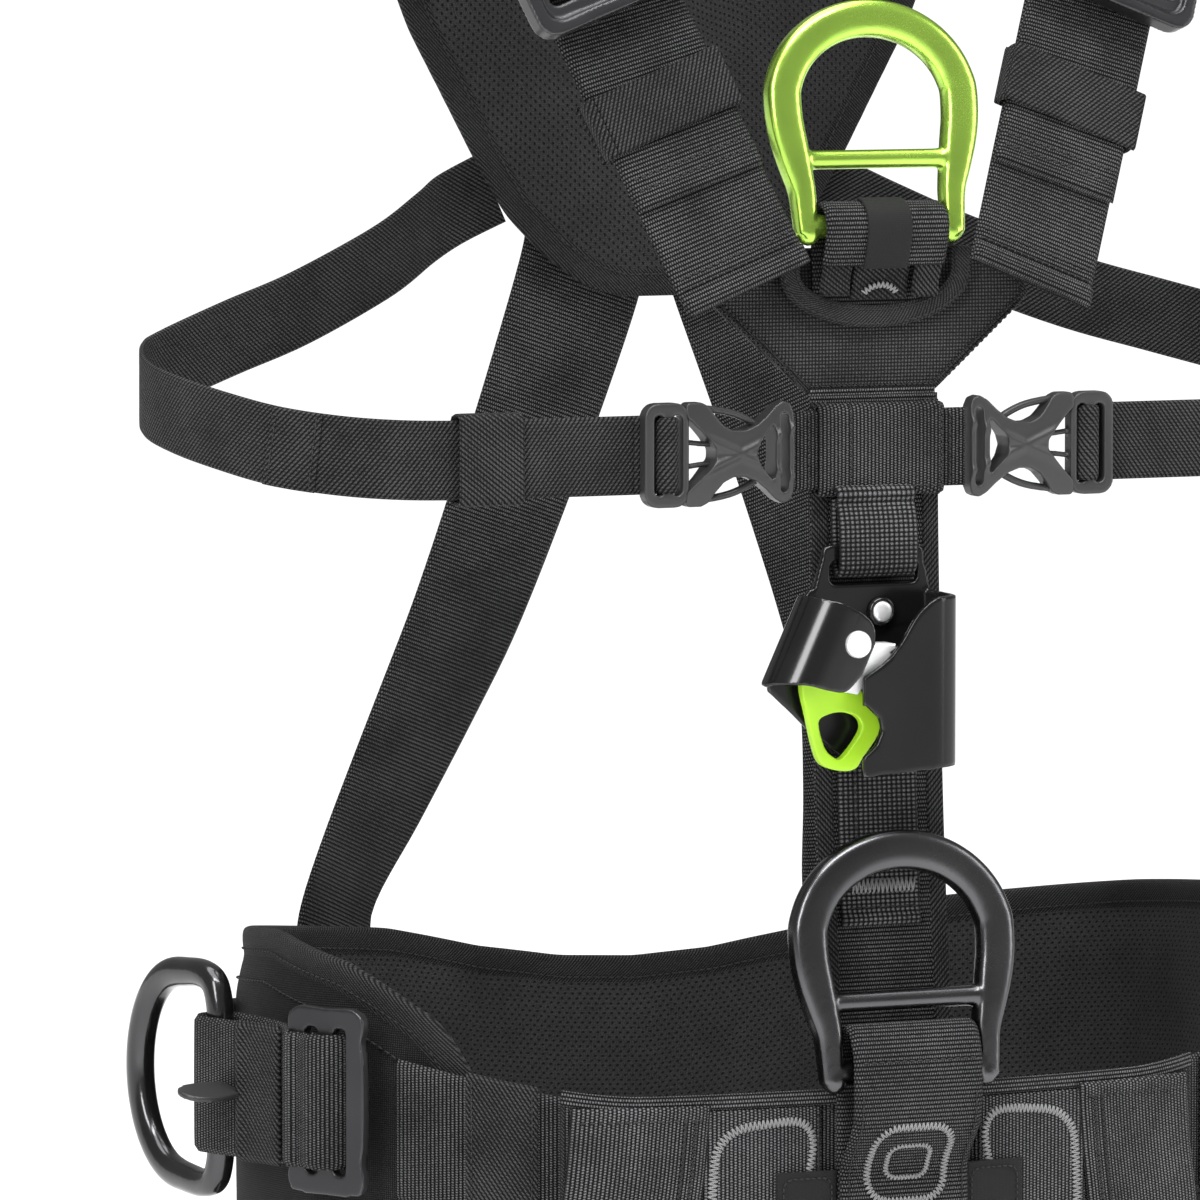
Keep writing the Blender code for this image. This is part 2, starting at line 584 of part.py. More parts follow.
# ---------------------------------------------------------------- rope ascender
def build_clamp():
    path = [(-40.5, -98.6), (-33.8, -98.6), (-27.2, -98.6), (-22, -98.6), (-8, -98.6), (12, -98.6),
            (15.6, -100.8), (18.4, -106.0), (17.6, -112.4), (13, -116.2), (8.6, -117.4), (2.5, -117.6),
            (-3, -117.4), (-8.4, -117.2), (-15.6, -116.8)]
    lows = [156.4, 150.4, 144.2, 139.5, 131.5, 130.6, 130.8, 131.2, 131.6, 131.6, 131.4, 131, 130.6, 130.2, 129.6]
    highs = [159.4, 173, 187, 188.2, 188, 187.2, 186.8, 186.4, 186.2, 186.2, 185.6, 180.5, 172, 166.2, 161.5]
    frame = sheet("clamp_frame", path, lows, highs, 2.4, M["frame_steel"])
    eye = [(-22.2, 178), (15, 178), (15.2, 190), (13.6, 196), (10.5, 201.8), (-17, 202.4), (-22, 198)]
    slot = [(-19.4, 189.4), (11.7, 189.4), (11.5, 196.8), (-19.2, 197.2)]
    top = plate("cut_clamp_eye", eye, [slot], lambda u, v, w: Vector((u, -98.6 + w, v)), 2.8, M["frame_steel"])
    boolean(frame, top, "UNION")
    t = TRIGGER_AXIS
    stub = cylinder("cut_clamp_stub", (t.x, -98.4, t.z), (0, -1, 0), (2.2, 2.2), (0, 7.5), M["frame_steel"], 16)
    boolean(frame, stub, "UNION")
    notch = plate("cut_clamp_notch", [(-22, 153), (-14.6, 152.4), (-9.6, 144.3), (-16.2, 135.5), (-22, 135)], [],
                  lambda u, v, w: Vector((u, -117 + w, v)), 8.0, M["frame_steel"])
    boolean(frame, notch, "DIFFERENCE")

    # guard: a folded shell leaning about the cam pin
    a = math.radians(25)
    c = CAM_AXIS

    def tilt(p):
        return Vector((c.x + p.x * math.cos(a) + p.z * math.sin(a), p.y,
                       c.z - p.x * math.sin(a) + p.z * math.cos(a)))

    fold = [(-6, -101.3), (-13.5, -101.3), (-16.8, -102.6), (-18.0, -106.2), (-17.0, -110.8), (-13.4, -115.2),
            (-9, -117.6), (-2, -118.5), (3, -118.6), (5.8, -118.5)]
    guard_low = [-10, -17, -21.4, -23.4, -22, -20, -18.3, -17, -15, -8]
    guard_high = [7.6, 7.8, 7.8, 7.7, 8.4, 9.2, 10, 9.6, 7.6, 2.4]
    guard = sheet("clamp_guard", fold, guard_low, guard_high, 1.8, M["frame_steel"], tilt)
    hole = cylinder("cut_guard", (c.x, -116, c.z), (0, -1, 0), (3.3, 3.3), (0, 6), M["frame_steel"], 16)
    boolean(guard, hole, "DIFFERENCE")
    cylinder("clamp_pin", (c.x, -100.1, c.z), (0, -1, 0), (3.0, 3.0, 4.4, 4.4, 3.2), (0, 19.7, 19.7, 21.0, 21.8),
             M["bare_steel"], 20)
    cylinder("clamp_rivet", (-1.7, -100.3, 180.6), (0, -1, 0), (3.6, 3.6, 2.6), (0, 1.2, 2.0),
             M["bare_steel"], 20)

    # cam on the pin, teeth towards the rope channel, and the release trigger below it
    cam = arc(0, 0, 7.2, 7.2, 62, 235, 10) + [(-4.5, -9.5), (-2.5, -15.5), (2.5, -16.5), (5.5, -13.0)]
    cam += [(9.5, -11.5), (10.6, -9.0), (12.8, -8.6), (12.6, -6.4), (14.6, -5.6), (14.0, -3.6), (15.8, -2.4),
            (15.6, -0.8), (7.4, -0.6)]
    plate("clamp_cam", cam, [arc(0, 0, 3.15, 3.15, 0, 345, 23)],
          lambda u, v, w: Vector((c.x + u, -110.6 + w, c.z + v)), 8.8, M["bare_steel"], 0.6, c)
    trigger = [(-9.9, -2.8), (-7.9, -12), (-5.2, -23.1), (-2.5, -28.1), (3.6, -30.2), (8.9, -29.8), (11.6, -26.3),
               (17.7, -16.7), (12.2, -6.7), (8, -1), (3.5, 4.0), (-3.5, 4.0), (-7.5, 1.5)]
    hole = [(-3.9, -14.6), (-1.2, -12.3), (4.2, -11.5), (9.6, -13.3), (11.2, -16.4), (9.6, -20.1), (4.2, -26.2),
            (0.6, -25.2), (-2.0, -22.0)]
    plate("clamp_trigger", trigger, [hole, arc(0, 0, 2.45, 2.45, 0, 337.5, 15)],
          lambda u, v, w: Vector((t.x + u, t.y + w, t.z + v)), 3.4, M["green_plastic"], 0.8, t)

    x = -3.2
    loop = [(-98.6, 216.4), (-101.2, 209), (-101.8, 199), (-101.3, 194.4), (-98.6, 192.4), (-96.2, 194.4),
            (-95.7, 199), (-95.1, 209), (-94.9, 216.4)]
    strap("clamp_loop", [Vector((x, yy, z)) for yy, z in loop], Vector((1, 0, 0)), LOOP_WEB, LOOP_T,
          M["loop_webbing"])


# ---------------------------------------------------------------- shoulders and back
# rows of each strap from the back plate to the belt: x, y, z, turn about the vertical, slope across;
# then its two stations on the belt: angle, z, slope across. The left one hangs nearly upright at its foot.
REAR_ROWS = {
    -1: ((24.5, 82.6, 292, 0, 0.33), (26.5, 82.8, 278, 0, 0.33), (42, 86.5, 228, 7, 0.33), (62, 91, 171, 15, 0.33),
         (76.5, 94, 137, 22, 0.33), (92, 97, 103, 30, 0.33), (106.5, 98.6, 71, 38, 0.33)),
    1: ((24.5, 82.6, 292, 0, 0.36), (29.5, 82.9, 278, 0, 0.38), (51, 87, 228, 7, 0.38), (73.5, 92, 171, 16, 0.3),
        (84, 95.5, 137, 24, 0.22), (87.5, 99, 103, 30, 0.12), (88.5, 102, 71, 32, 0.05)),
}
REAR_ENDS = {-1: ((131.5, 36, 0.33), (130, -6, 0.33)), 1: ((137.5, 36, 0.05), (137.5, -6, 0.05))}


def build_shoulder(s, side):
    low, top = Vector((s * 49.0, -104.0, 284.0)), Vector((s * 82.0, -77.0, 368.0))
    run = (top - low).normalized()
    w0, w1 = Vector((s * -0.927, 0, 0.376)), Vector((s * -0.964, 0, 0.265))
    steps = 6
    path = [low + (top - low) * (i / steps) for i in range(steps + 1)]
    wd = [w0.lerp(w1, i / steps) for i in range(steps + 1)]
    path.append(top + run * 22)
    wd.append(w1)
    strap(f"shoulder_strap_{side}", path, wd, WEB, 4.6, M["webbing"])
    mid = low.lerp(top, 0.69)
    w = w0.lerp(w1, 0.5)
    w = (w - run * w.dot(run)).normalized()
    out = w.cross(run).normalized()
    tube_strap(f"shoulder_keeper_{side}", mid, run, w, out, WEB + 1.6, 4.6 + 1.4, 20, 1.4, M["elastic"])

    w = (w1 - run * w1.dot(run)).normalized()
    out = w.cross(run).normalized()
    if out.y > 0:
        out = -out
    centre = top + run * 21 + out * 9.8
    axis = centre + run * 15.5
    plate(f"shoulder_buckle_{side}", rounded(62, 38, 5), [rounded(47, 5.6, 2.2, 0, -7.2, 2),
          rounded(47, 5.6, 2.2, 0, 7.2, 2)], lambda u, v, q: centre + w * u + run * v + out * q, 8.0,
          M["buckle_metal"], 1.4, axis)

    pts = [(93.5, -62.5, 399), (96.5, -54, 425), (98, -38, 451), (97, -14, 468), (93, 14, 472.5),
           (87, 42, 462), (80, 62, 443), (72, 74, 420), (67, 77.4, 400.8)]
    path = [Vector((s * x, y, z)) for x, y, z in pts]
    wd = [Vector((-s * math.cos(math.radians(t)), 0, math.sin(math.radians(t)))) for t in
          (15, 12, 8, 4, 0, -2, -2, 0, 0)]
    wide = [table(i / 3, list(enumerate([54, 62, 66, 66, 66, 65, 64, 62, 58]))) for i in range(25)]
    strap(f"shoulder_pad_{side}", catmull(path, 3), catmull(wd, 3), wide, 9.0, M["padding"])

    rows = []
    for x, y, z, turn, slope in REAR_ROWS[s]:
        g = math.radians(turn)
        lean = Vector((0.94 * math.cos(g), -s * 0.94 * math.sin(g), s * slope))
        rows.append(flat_row(Vector((s * x, y, z)), lean, Vector((s * math.sin(g), math.cos(g), 0)), WEB / 2))
    off = 2 * GAP + 0.4 + WEB_T
    belt_rows = [on_belt(s * phi, z, off, -slope * s, WEB / 2)[::-1] for phi, z, slope in REAR_ENDS[s]]
    rows.append(mix_rows(rows[-1], [(p + UP * 32, n) for p, n in belt_rows[0]], 0.72))
    rows[-1] = [(p + UP * -16 + n * 0.6, n) for p, n in rows[-1]]
    rows += belt_rows
    draped(f"rear_strap_{side}", rows, WEB_T, M["webbing"])


def build_back():
    half = [(0, 271.5), (14, 272), (28, 276), (42, 286), (56, 300), (67, 318), (80, 342), (91, 362), (98, 380),
            (101, 399), (92, 400), (40, 400), (28, 394), (12, 387), (0, 386)]
    outline = half + [(-x, z) for x, z in reversed(half[1:-1])]
    plate("back_pad", outline, [], lambda u, v, w: Vector((u, 77.0 + w, v)), 10.0, M["padding"], 3.0)
    bar = Vector((0, 92.6, 352))
    loop = [(84.2, 332), (84.0, 344)] + [(bar.y + 6.8 * math.cos(math.radians(q)) * 1.0,
            bar.z + 6.8 * math.sin(math.radians(q))) for q in (190, 140, 90, 40, -10)]
    loop += [(95.5, 340), (88.6, 334), (87.0, 322)]
    loop[0] = (84.2, 322)
    loop[2] = (84.6, 350)
    strap("dorsal_loop", [Vector((0, y, z)) for y, z in loop], Vector((1, 0, 0)), WEB - 2, 2.0, M["webbing"])
    d_ring("dorsal_ring", bar, 6.0, 0.945, M["black_alloy"])


# ---------------------------------------------------------------- leg loops
def leg_frame(s):
    a = math.radians(LEG_TILT)
    x = Vector((s * math.cos(a), 0, math.sin(a)))
    n = Vector((-s * math.sin(a), 0, math.cos(a)))
    c = Vector((s * LEG_C.x, LEG_C.y, LEG_C.z))
    return c, x, n


def leg_point(s, theta, rx, ry):
    """theta 0 on the outside of the thigh, 90 at the back."""
    c, x, _ = leg_frame(s)
    t = math.radians(theta)
    return c + x * (rx * math.cos(t)) + Vector((0, 1, 0)) * (ry * math.sin(t))


def build_leg(s, side):
    _, _, n = leg_frame(s)
    rings = []
    for theta in [-74, -72, -68, -60] + list(range(-50, 131, 12)) + [139, 144, 147, 149]:
        edge = min(smooth(theta, -86, -58), 1 - smooth(theta, 138, 158))
        half = 40 * edge
        inner, outer = leg_point(s, theta, 73, 77), leg_point(s, theta, 83, 87)
        d = outer - inner
        t = d.length
        d.normalize()
        r = 4.0
        ring = [inner + d * u + n * v for u, v in (
            arc(t - r, half - r, r, r, 0, 90, 2) + arc(r, half - r, r, r, 90, 180, 2)
            + arc(r, -half + r, r, r, 180, 270, 2) + arc(t - r, -half + r, r, r, 270, 360, 2))]
        rings.append(ring)
    loft(f"leg_pad_{side}", rings, M["padding"])
    off = GAP + 0.3 + WEB_T / 2
    path = [leg_point(s, t, 83 + off, 87 + off) for t in range(0, 360, 10)]
    strap(f"leg_strap_{side}", path, n, WEB, WEB_T, M["webbing"], True)
    # two-slot buckle on the front outer quarter of the loop, tilting on its outer edge
    theta = -52
    t = math.radians(theta)
    _, x, _ = leg_frame(s)
    out = (x * (math.cos(t) / 83) + Vector((0, 1, 0)) * (math.sin(t) / 87)).normalized()
    along = n.cross(out).normalized()
    if along.dot(x) < 0:
        along = -along
    centre = leg_point(s, theta, 83 + 8.6, 87 + 8.6)
    slots = [rounded(5.2, 47, 2.2, -6.6, 0, 2), rounded(5.2, 47, 2.2, 6.6, 0, 2)]
    plate(f"leg_buckle_{side}", rounded(34, 60, 4, steps=3), slots,
          lambda u, v, w: centre + along * u + n * v + out * w, 4.0, M["buckle_metal"], 0.9, centre + along * 14)
    # elastic strap from the back of the belt to the back of the thigh
    top = belt(s * 152, GAP + WEB_T / 2 + 0.8)
    foot = leg_point(s, 94, 83 + 5.4, 87 + 5.4)
    path = [top + UP * -22, top + UP * -56, top.lerp(foot, 0.35) + UP * -92, top.lerp(foot, 0.75) + UP * -128,
            foot + n * 24, foot - n * 18]
    path[2].z, path[3].z = -92, -138
    side_on = (belt(s * 153, 0) - belt(s * 151, 0)).normalized() * -s
    wd = [side_on, side_on, side_on.lerp(Vector((1, 0, 0)), 0.4), Vector((1, 0, 0)), Vector((1, 0, 0)), Vector((1, 0, 0))]
    strap(f"leg_rear_strap_{side}", path, wd, CHEST_WEB, CHEST_T, M["elastic"])


build_belt()
build_front()
build_chest()
build_clamp()
build_back()
for sign, tag in ((-1, "r"), (1, "l")):
    build_side(sign, tag)
    build_shoulder(sign, tag)
    build_leg(sign, tag)
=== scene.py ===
"""Looks of the full-body climbing harness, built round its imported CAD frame.

Lengths are in millimetres in the frame's axes, and are scaled to metres when a mesh is made. The front
faces -Y and +X is the wearer's left. Straps are strips that lie where the CAD straps lie, pads are blown up
with the cloth solver between their seams, and metal pieces are rounded from swept sections.
"""
import math

import bmesh
import bpy
import numpy as np
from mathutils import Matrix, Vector, noise


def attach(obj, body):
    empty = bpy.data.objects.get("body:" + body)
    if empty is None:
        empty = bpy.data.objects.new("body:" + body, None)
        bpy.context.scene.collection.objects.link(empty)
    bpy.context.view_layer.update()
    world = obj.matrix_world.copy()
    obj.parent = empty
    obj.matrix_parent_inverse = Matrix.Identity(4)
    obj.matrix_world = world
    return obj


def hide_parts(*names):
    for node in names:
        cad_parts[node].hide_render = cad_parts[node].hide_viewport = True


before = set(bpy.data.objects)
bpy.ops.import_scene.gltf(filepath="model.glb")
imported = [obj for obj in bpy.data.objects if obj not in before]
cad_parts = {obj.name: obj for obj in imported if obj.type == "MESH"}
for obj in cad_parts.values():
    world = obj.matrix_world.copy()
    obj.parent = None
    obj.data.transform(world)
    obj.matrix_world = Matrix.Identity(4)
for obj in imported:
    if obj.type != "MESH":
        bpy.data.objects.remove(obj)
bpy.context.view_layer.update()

MM = 0.001
UP = np.array((0.0, 0.0, 1.0))
OUTWARD = (0, -1, 0)
SIDES = ((-1, "r"), (1, "l"))

# Driving dimensions, as in the CAD
WEB, WEB_T = 45.0, 2.4
CHEST_WEB, CHEST_T = 25.0, 1.6
LOOP_WEB, LOOP_T = 27.6, 1.8
BELT_A, BELT_B, BELT_N = 174.0, 105.0, 2.6
PAD_T = 12.0
GAP = 0.4
KEEPER = 23.0
LOOP_RISE = 14.5
VENTRAL_BAR, VENTRAL_LEAN = np.array((0, -118.6, 36.0)), 8.0
STERNAL_BAR, STERNAL_LEAN = np.array((0, -94.5, 303.0)), 9.0
DORSAL_BAR, DORSAL_LEAN = np.array((0, 92.6, 352.0)), 6.0
SMALL_RING = 0.945
SIDE_BAR = np.array((187.5, 2.0, 27.0))
SIDE_ANGLE = 80.0
CAM_AXIS = np.array((-18.8, -110.0, 172.3))
TRIGGER_AXIS = np.array((-22.0, -104.2, 161.0))
CHEST_Y, CHEST_Z = -94.5, 232.0
LEG_C = np.array((98.0, 5.0, -190.0))
LEG_TILT = 22.0
LEG_RX, LEG_RY = 83, 87


# ---------------------------------------------------------------- shader building
class Shader:
    """A material under construction: small helpers that add and join nodes."""

    def __init__(self, name, colour, rough, metal=0.0, specular=0.5):
        self.mat = bpy.data.materials.new(name)
        self.mat.use_nodes = True
        self.tree = self.mat.node_tree
        self.out = self.tree.nodes["Principled BSDF"]
        self.set("Base Color", (*colour, 1))
        self.set("Roughness", rough)
        self.set("Metallic", metal)
        self.set("Specular IOR Level", specular)

    def set(self, socket, value):
        self.out.inputs[socket].default_value = value

    def join(self, source, socket):
        self.tree.links.new(source, self.out.inputs[socket])

    def node(self, kind, **inputs):
        made = self.tree.nodes.new(kind)
        for key, value in inputs.items():
            self.feed(made.inputs[key.replace("_", " ")], value)
        return made

    def feed(self, socket, value):
        if isinstance(value, bpy.types.NodeSocket):
            self.tree.links.new(value, socket)
        else:
            socket.default_value = value

    def math(self, operation, a, b=None, c=None):
        made = self.tree.nodes.new("ShaderNodeMath")
        made.operation = operation
        for i, value in enumerate((a, b, c)):
            if value is not None:
                self.feed(made.inputs[i], value)
        return made.outputs[0]

    def add(self, a, b):
        return self.math("ADD", a, b)

    def less(self, a, b):
        return self.math("SUBTRACT", a, b)

    def mul(self, a, b):
        return self.math("MULTIPLY", a, b)

    def div(self, a, b):
        return self.math("DIVIDE", a, b)

    def strap_uv(self, layer):
        """The two values of a UV layer: "cloth" holds metres across and along the piece."""
        made = self.tree.nodes.new("ShaderNodeUVMap")
        made.uv_map = layer
        split = self.node("ShaderNodeSeparateXYZ", Vector=made.outputs[0])
        return split.outputs[0], split.outputs[1]

    def object_noise(self, scale, detail=2.0, rough=0.5):
        where = self.tree.nodes.new("ShaderNodeTexCoord")
        made = self.node("ShaderNodeTexNoise", Vector=where.outputs["Object"], Scale=scale, Detail=detail,
                         Roughness=rough)
        return made.outputs["Fac"]

    def ramp(self, value, stops):
        made = self.node("ShaderNodeValToRGB", Fac=value)
        ramp = made.color_ramp
        while len(ramp.elements) < len(stops):
            ramp.elements.new(0.5)
        for element, (at, colour) in zip(ramp.elements, stops):
            element.position = at
            element.color = (*colour, 1)
        return made.outputs["Color"]

    def mix(self, share, first, second):
        """A blend of two colours, with its share clamped to 0 and 1."""
        made = self.tree.nodes.new("ShaderNodeMix")
        made.data_type = "RGBA"
        for socket, value in ((0, share), (6, first), (7, second)):
            self.feed(made.inputs[socket], value)
        return made.outputs[2]

    def bump(self, height, depth, strength):
        made = self.node("ShaderNodeBump", Height=height, Distance=depth, Strength=strength)
        return made.outputs["Normal"]


# added before a cell is counted or cut to its fraction, which keeps both above zero
MANY = 4000.0


def wave(shader, value, power):
    """|sin(pi value)| to a power: a row of rounded ribs, one per unit."""
    s = shader.math("ABSOLUTE", shader.math("SINE", shader.mul(value, math.pi)))
    return shader.math("POWER", s, power)


def rib_height(sh, u, v, pu, pv):
    """Rows of short bumps across a webbing, each row set off by half a bump."""
    row = sh.div(v, pv)
    shift = sh.mul(sh.math("MODULO", sh.math("FLOOR", sh.add(row, MANY)), 2.0), 0.5)
    cell = wave(sh, sh.add(sh.div(u, pu), shift), 0.7)
    return sh.mul(wave(sh, row, 0.7), sh.add(sh.mul(cell, 0.72), 0.28))


def rib_columns(sh, u, v, pu, pv):
    """The same, with its rows along the strap."""
    return rib_height(sh, v, u, pv, pu)


def twill_height(sh, u, v, pu, pv):
    """Slanting ridges broken into short floats."""
    across = sh.div(u, pu)
    ridge = wave(sh, sh.add(across, sh.div(v, pv)), 0.7)
    step = wave(sh, sh.mul(across, 2.0), 0.5)
    return sh.mul(ridge, sh.add(sh.mul(step, 0.4), 0.6))


def chevron_height(sh, u, v, pu, pv):
    """Twill that turns back at the middle of the tape."""
    fold = sh.math("ABSOLUTE", u)
    return twill_height(sh, fold, v, pu, pv)


def basket_height(sh, u, v, pu, pv):
    """Threads that go over and under each other by turns."""
    across = sh.div(u, pu)
    along = sh.div(v, pv)
    cells = sh.add(sh.math("FLOOR", sh.add(across, MANY)),
                    sh.math("FLOOR", sh.add(along, MANY)))
    odd = sh.math("MODULO", cells, 2.0)
    over = lambda a, b: sh.mul(wave(sh, a, 0.5),
                                sh.add(sh.mul(wave(sh, b, 1.0), 0.6), 0.4))
    return sh.add(sh.mul(over(across, along), odd),
                   sh.mul(over(along, across), sh.less(1.0, odd)))


def mesh_height(sh, u, v, pu, pv):
    """Air mesh: a fine knit with rows of small open cells set off by half a cell."""
    row = sh.add(sh.div(u, pu), MANY)
    shift = sh.mul(sh.math("MODULO", sh.math("FLOOR", row), 2.0), 0.5)
    cell = sh.math("FRACT", sh.add(sh.add(sh.div(v, pv), MANY), shift))
    dv = sh.mul(sh.less(cell, 0.5), 1000 * pv)
    du = sh.mul(sh.less(sh.math("FRACT", row), 0.5), 1000 * pu)
    skew = sh.add(dv, sh.mul(du, 0.35))
    r2 = sh.add(sh.mul(skew, skew), sh.mul(sh.mul(du, du), 1.8))
    hole = sh.math("SMOOTH_MIN", sh.div(r2, 0.4), 1.0, 0.15)
    knit = sh.mul(wave(sh, sh.div(v, 0.0006), 1.0), wave(sh, sh.div(u, 0.0005), 1.0))
    return sh.mul(hole, sh.add(sh.mul(knit, 0.3), 0.7))


def woven(sh, weave, pitch, dark, light, fade=0.3):
    """(height, colour) of a fabric: its colour paints highlights on the thread tops and shade in the gaps and
    open cells between them, and a slow noise fades it.
    """
    u, v = sh.strap_uv("cloth")
    height = weave(sh, u, v, *pitch)
    patchy = sh.object_noise(38.0, 4.0, 0.6)
    fibre_and_glint = sh.object_noise(2600.0, 1.0)
    # painted highlight and shade: the thread tops, speckled by the fibre noise, are made lighter and the gaps
    # darker
    lit = sh.mul(height, sh.add(sh.mul(fibre_and_glint, 0.9), 0.55))
    lit = sh.mul(lit, sh.add(sh.mul(patchy, 2 * fade), 1 - fade))
    tone = lambda level: (level, level, level * 1.03)
    middle = dark + (light - dark) * 0.28
    stops = ((0.0, dark * 0.3), (0.42, dark), (0.74, middle), (1.0, light))
    colour = sh.ramp(lit, [(at, tone(level)) for at, level in stops])
    return sh.add(height, sh.mul(fibre_and_glint, 0.25)), colour


def cloth_material(name, depth, specular, face, edge=None):
    """A woven fabric and, for a pad, the tape that binds its edge."""
    sh = Shader(name, (0.01, 0.01, 0.01), 0.72, specular=specular)
    height, colour = woven(sh, *face)
    if edge is not None:
        rim, _ = sh.strap_uv("rim")
        share = sh.node("ShaderNodeClamp", Value=sh.mul(sh.less(rim, 1.0), 16.0)).outputs[0]
        tape_height, tape_colour = woven(sh, *edge)
        colour = sh.mix(share, tape_colour, colour)
        height = sh.add(sh.mul(height, share),
                         sh.mul(tape_height, sh.less(1.0, share)))
    sh.join(colour, "Base Color")
    sh.set("Sheen Weight", 0.02)
    sh.set("Sheen Roughness", 0.5)
    sh.join(sh.bump(height, depth, 0.9), "Normal")
    return sh.mat


def hard_material(name, colour, rough, metal=0.0, specular=0.5, grain=900.0, depth=0.00003, spread=0.12,
                  coat=0.0, edge_highlight=None):
    """Metal or moulded plastic: fine grain, uneven gloss and, where asked, a painted highlight along edges
    that stand out.
    """
    sh = Shader(name, colour, rough, metal, specular)
    fine = sh.object_noise(grain, 3.0, 0.6)
    slow = sh.object_noise(26.0, 3.0)
    gloss = sh.add(sh.mul(sh.add(fine, slow), spread), rough - spread)
    sh.join(gloss, "Roughness")
    low = tuple(c * 0.86 for c in colour)
    high = tuple(min(c * 1.12 + 0.002, 1.0) for c in colour)
    tint = sh.ramp(slow, ((0.3, low), (0.7, high)))
    if edge_highlight is not None:
        # painted highlight: edges that stand out, found by pointiness and broken by noise, are made lighter
        point = sh.tree.nodes.new("ShaderNodeNewGeometry").outputs["Pointiness"]
        edge = sh.mul(sh.less(point, 0.53), 9.0)
        edge = sh.mul(edge, sh.object_noise(160.0, 3.0))
        tint = sh.mix(edge, tint, (*edge_highlight, 1))
    sh.join(tint, "Base Color")
    if coat:
        sh.set("Coat Weight", coat)
        sh.set("Coat Roughness", 0.12)
    sh.join(sh.bump(fine, depth, 0.35), "Normal")
    return sh.mat


# weave, pitch across and along in metres, darkest tone (painted shade in the gaps) and lightest tone (painted
# highlight on the thread tops), fading
RIBS = (rib_height, (0.00082, 0.0013), 0.0022, 0.1)
PALE_RIBS = (rib_columns, (0.0013, 0.0009), 0.003, 0.145)
SIDE_RIBS = (rib_columns, (0.0013, 0.00082), 0.0022, 0.1)
TWILL = (twill_height, (0.0021, 0.0016), 0.0036, 0.05)
TAPE = (twill_height, (0.0012, 0.0012), 0.0036, 0.042, 0.2)
SHELL = (basket_height, (0.0007, 0.0007), 0.0034, 0.026)
MESH = (mesh_height, (0.0016, 0.0028), 0.0075, 0.036, 0.2)
CLOTHS = {
    "webbing": (0.00045, 0.08, RIBS),
    "webbing_turned": (0.00045, 0.08, SIDE_RIBS),
    "webbing_light": (0.0004, 0.1, PALE_RIBS),
    "elastic": (0.0004, 0.08, TWILL),
    "chevron": (0.0004, 0.08, (chevron_height, (0.0017, 0.0019), 0.0026, 0.05)),
    "binding": (0.0002, 0.14, TAPE),
    "shell": (0.0002, 0.08, SHELL, TAPE),
    "lining": (0.0006, 0.08, MESH, TAPE),
    "ballistic": (0.0004, 0.16, (basket_height, (0.00115, 0.00115), 0.0036, 0.06), TAPE),
    "coarse": (0.0006, 0.1, (basket_height, (0.0017, 0.0014), 0.0025, 0.12)),
    "label": (0.0001, 0.25, (basket_height, (0.0005, 0.0005), 0.0025, 0.01)),
}
# the pale colour given for standing edges in some finishes is a painted highlight
HARD = {
    "black_thread": dict(colour=(0.013, 0.013, 0.0135), rough=0.6, specular=0.3, grain=1800.0, depth=0.00008),
    "grey_thread": dict(colour=(0.16, 0.16, 0.16), rough=0.5, grain=1800.0, depth=0.00008),
    "black_alloy": dict(colour=(0.085, 0.085, 0.088), rough=0.26, metal=1.0, grain=1500.0, depth=0.000006,
                        spread=0.06, edge_highlight=(0.3, 0.3, 0.31)),
    "gloss_alloy": dict(colour=(0.045, 0.045, 0.047), rough=0.2, metal=0.9, grain=1500.0, depth=0.000003,
                        spread=0.05, coat=0.3),
    "green_alloy": dict(colour=(0.4, 0.66, 0.09), rough=0.27, metal=0.92, grain=1500.0, depth=0.0000004,
                        spread=0.02, coat=0.25),
    "frame_steel": dict(colour=(0.009, 0.009, 0.0095), rough=0.22, metal=0.5, specular=0.4, grain=1400.0,
                        depth=0.000006, spread=0.06, edge_highlight=(0.35, 0.35, 0.36)),
    "guard_steel": dict(colour=(0.004, 0.004, 0.0043), rough=0.17, specular=0.4, grain=1400.0,
                        depth=0.000003, spread=0.03, coat=0.15),
    "bare_steel": dict(colour=(0.86, 0.86, 0.87), rough=0.42, metal=0.7, depth=0.000004, spread=0.06),
    "buckle_plastic": dict(colour=(0.02, 0.02, 0.021), rough=0.4, specular=0.45, grain=3200.0, depth=0.00004,
                           spread=0.08),
    "green_plastic": dict(colour=(0.36, 0.66, 0.02), rough=0.42, grain=2600.0, depth=0.00004, spread=0.08),
    "buckle_metal": dict(colour=(0.03, 0.03, 0.032), rough=0.34, metal=0.7, grain=1200.0, spread=0.1,
                         edge_highlight=(0.3, 0.3, 0.31)),
    "green_line": dict(colour=(0.3, 0.62, 0.02), rough=0.45),
}
MAT = {name: cloth_material(name, *row) for name, row in CLOTHS.items()}
MAT.update({name: hard_material(name, **row) for name, row in HARD.items()})


# ---------------------------------------------------------------- meshes
def new_object(name, verts, faces, mats, uv=None, smooth=True, rim=None):
    mesh = bpy.data.meshes.new(name)
    mesh.from_pydata([tuple(v) for v in np.asarray(verts) * MM], [], [tuple(f) for f in faces])
    for mat in mats if isinstance(mats, (list, tuple)) else [mats]:
        mesh.materials.append(MAT[mat])
    index = np.zeros(len(mesh.loops), np.int32)
    mesh.loops.foreach_get("vertex_index", index)
    if uv is not None:
        layer = mesh.uv_layers.new(name="cloth")
        layer.data.foreach_set("uv", (np.asarray(uv)[index] * MM).astype(np.float32).ravel())
    if rim is not None:
        layer = mesh.uv_layers.new(name="rim")
        layer.data.foreach_set("uv", np.repeat(np.asarray(rim)[index], 2).astype(np.float32))
    if smooth:
        mesh.shade_smooth()
    obj = bpy.data.objects.new(name, mesh)
    bpy.context.scene.collection.objects.link(obj)
    return obj


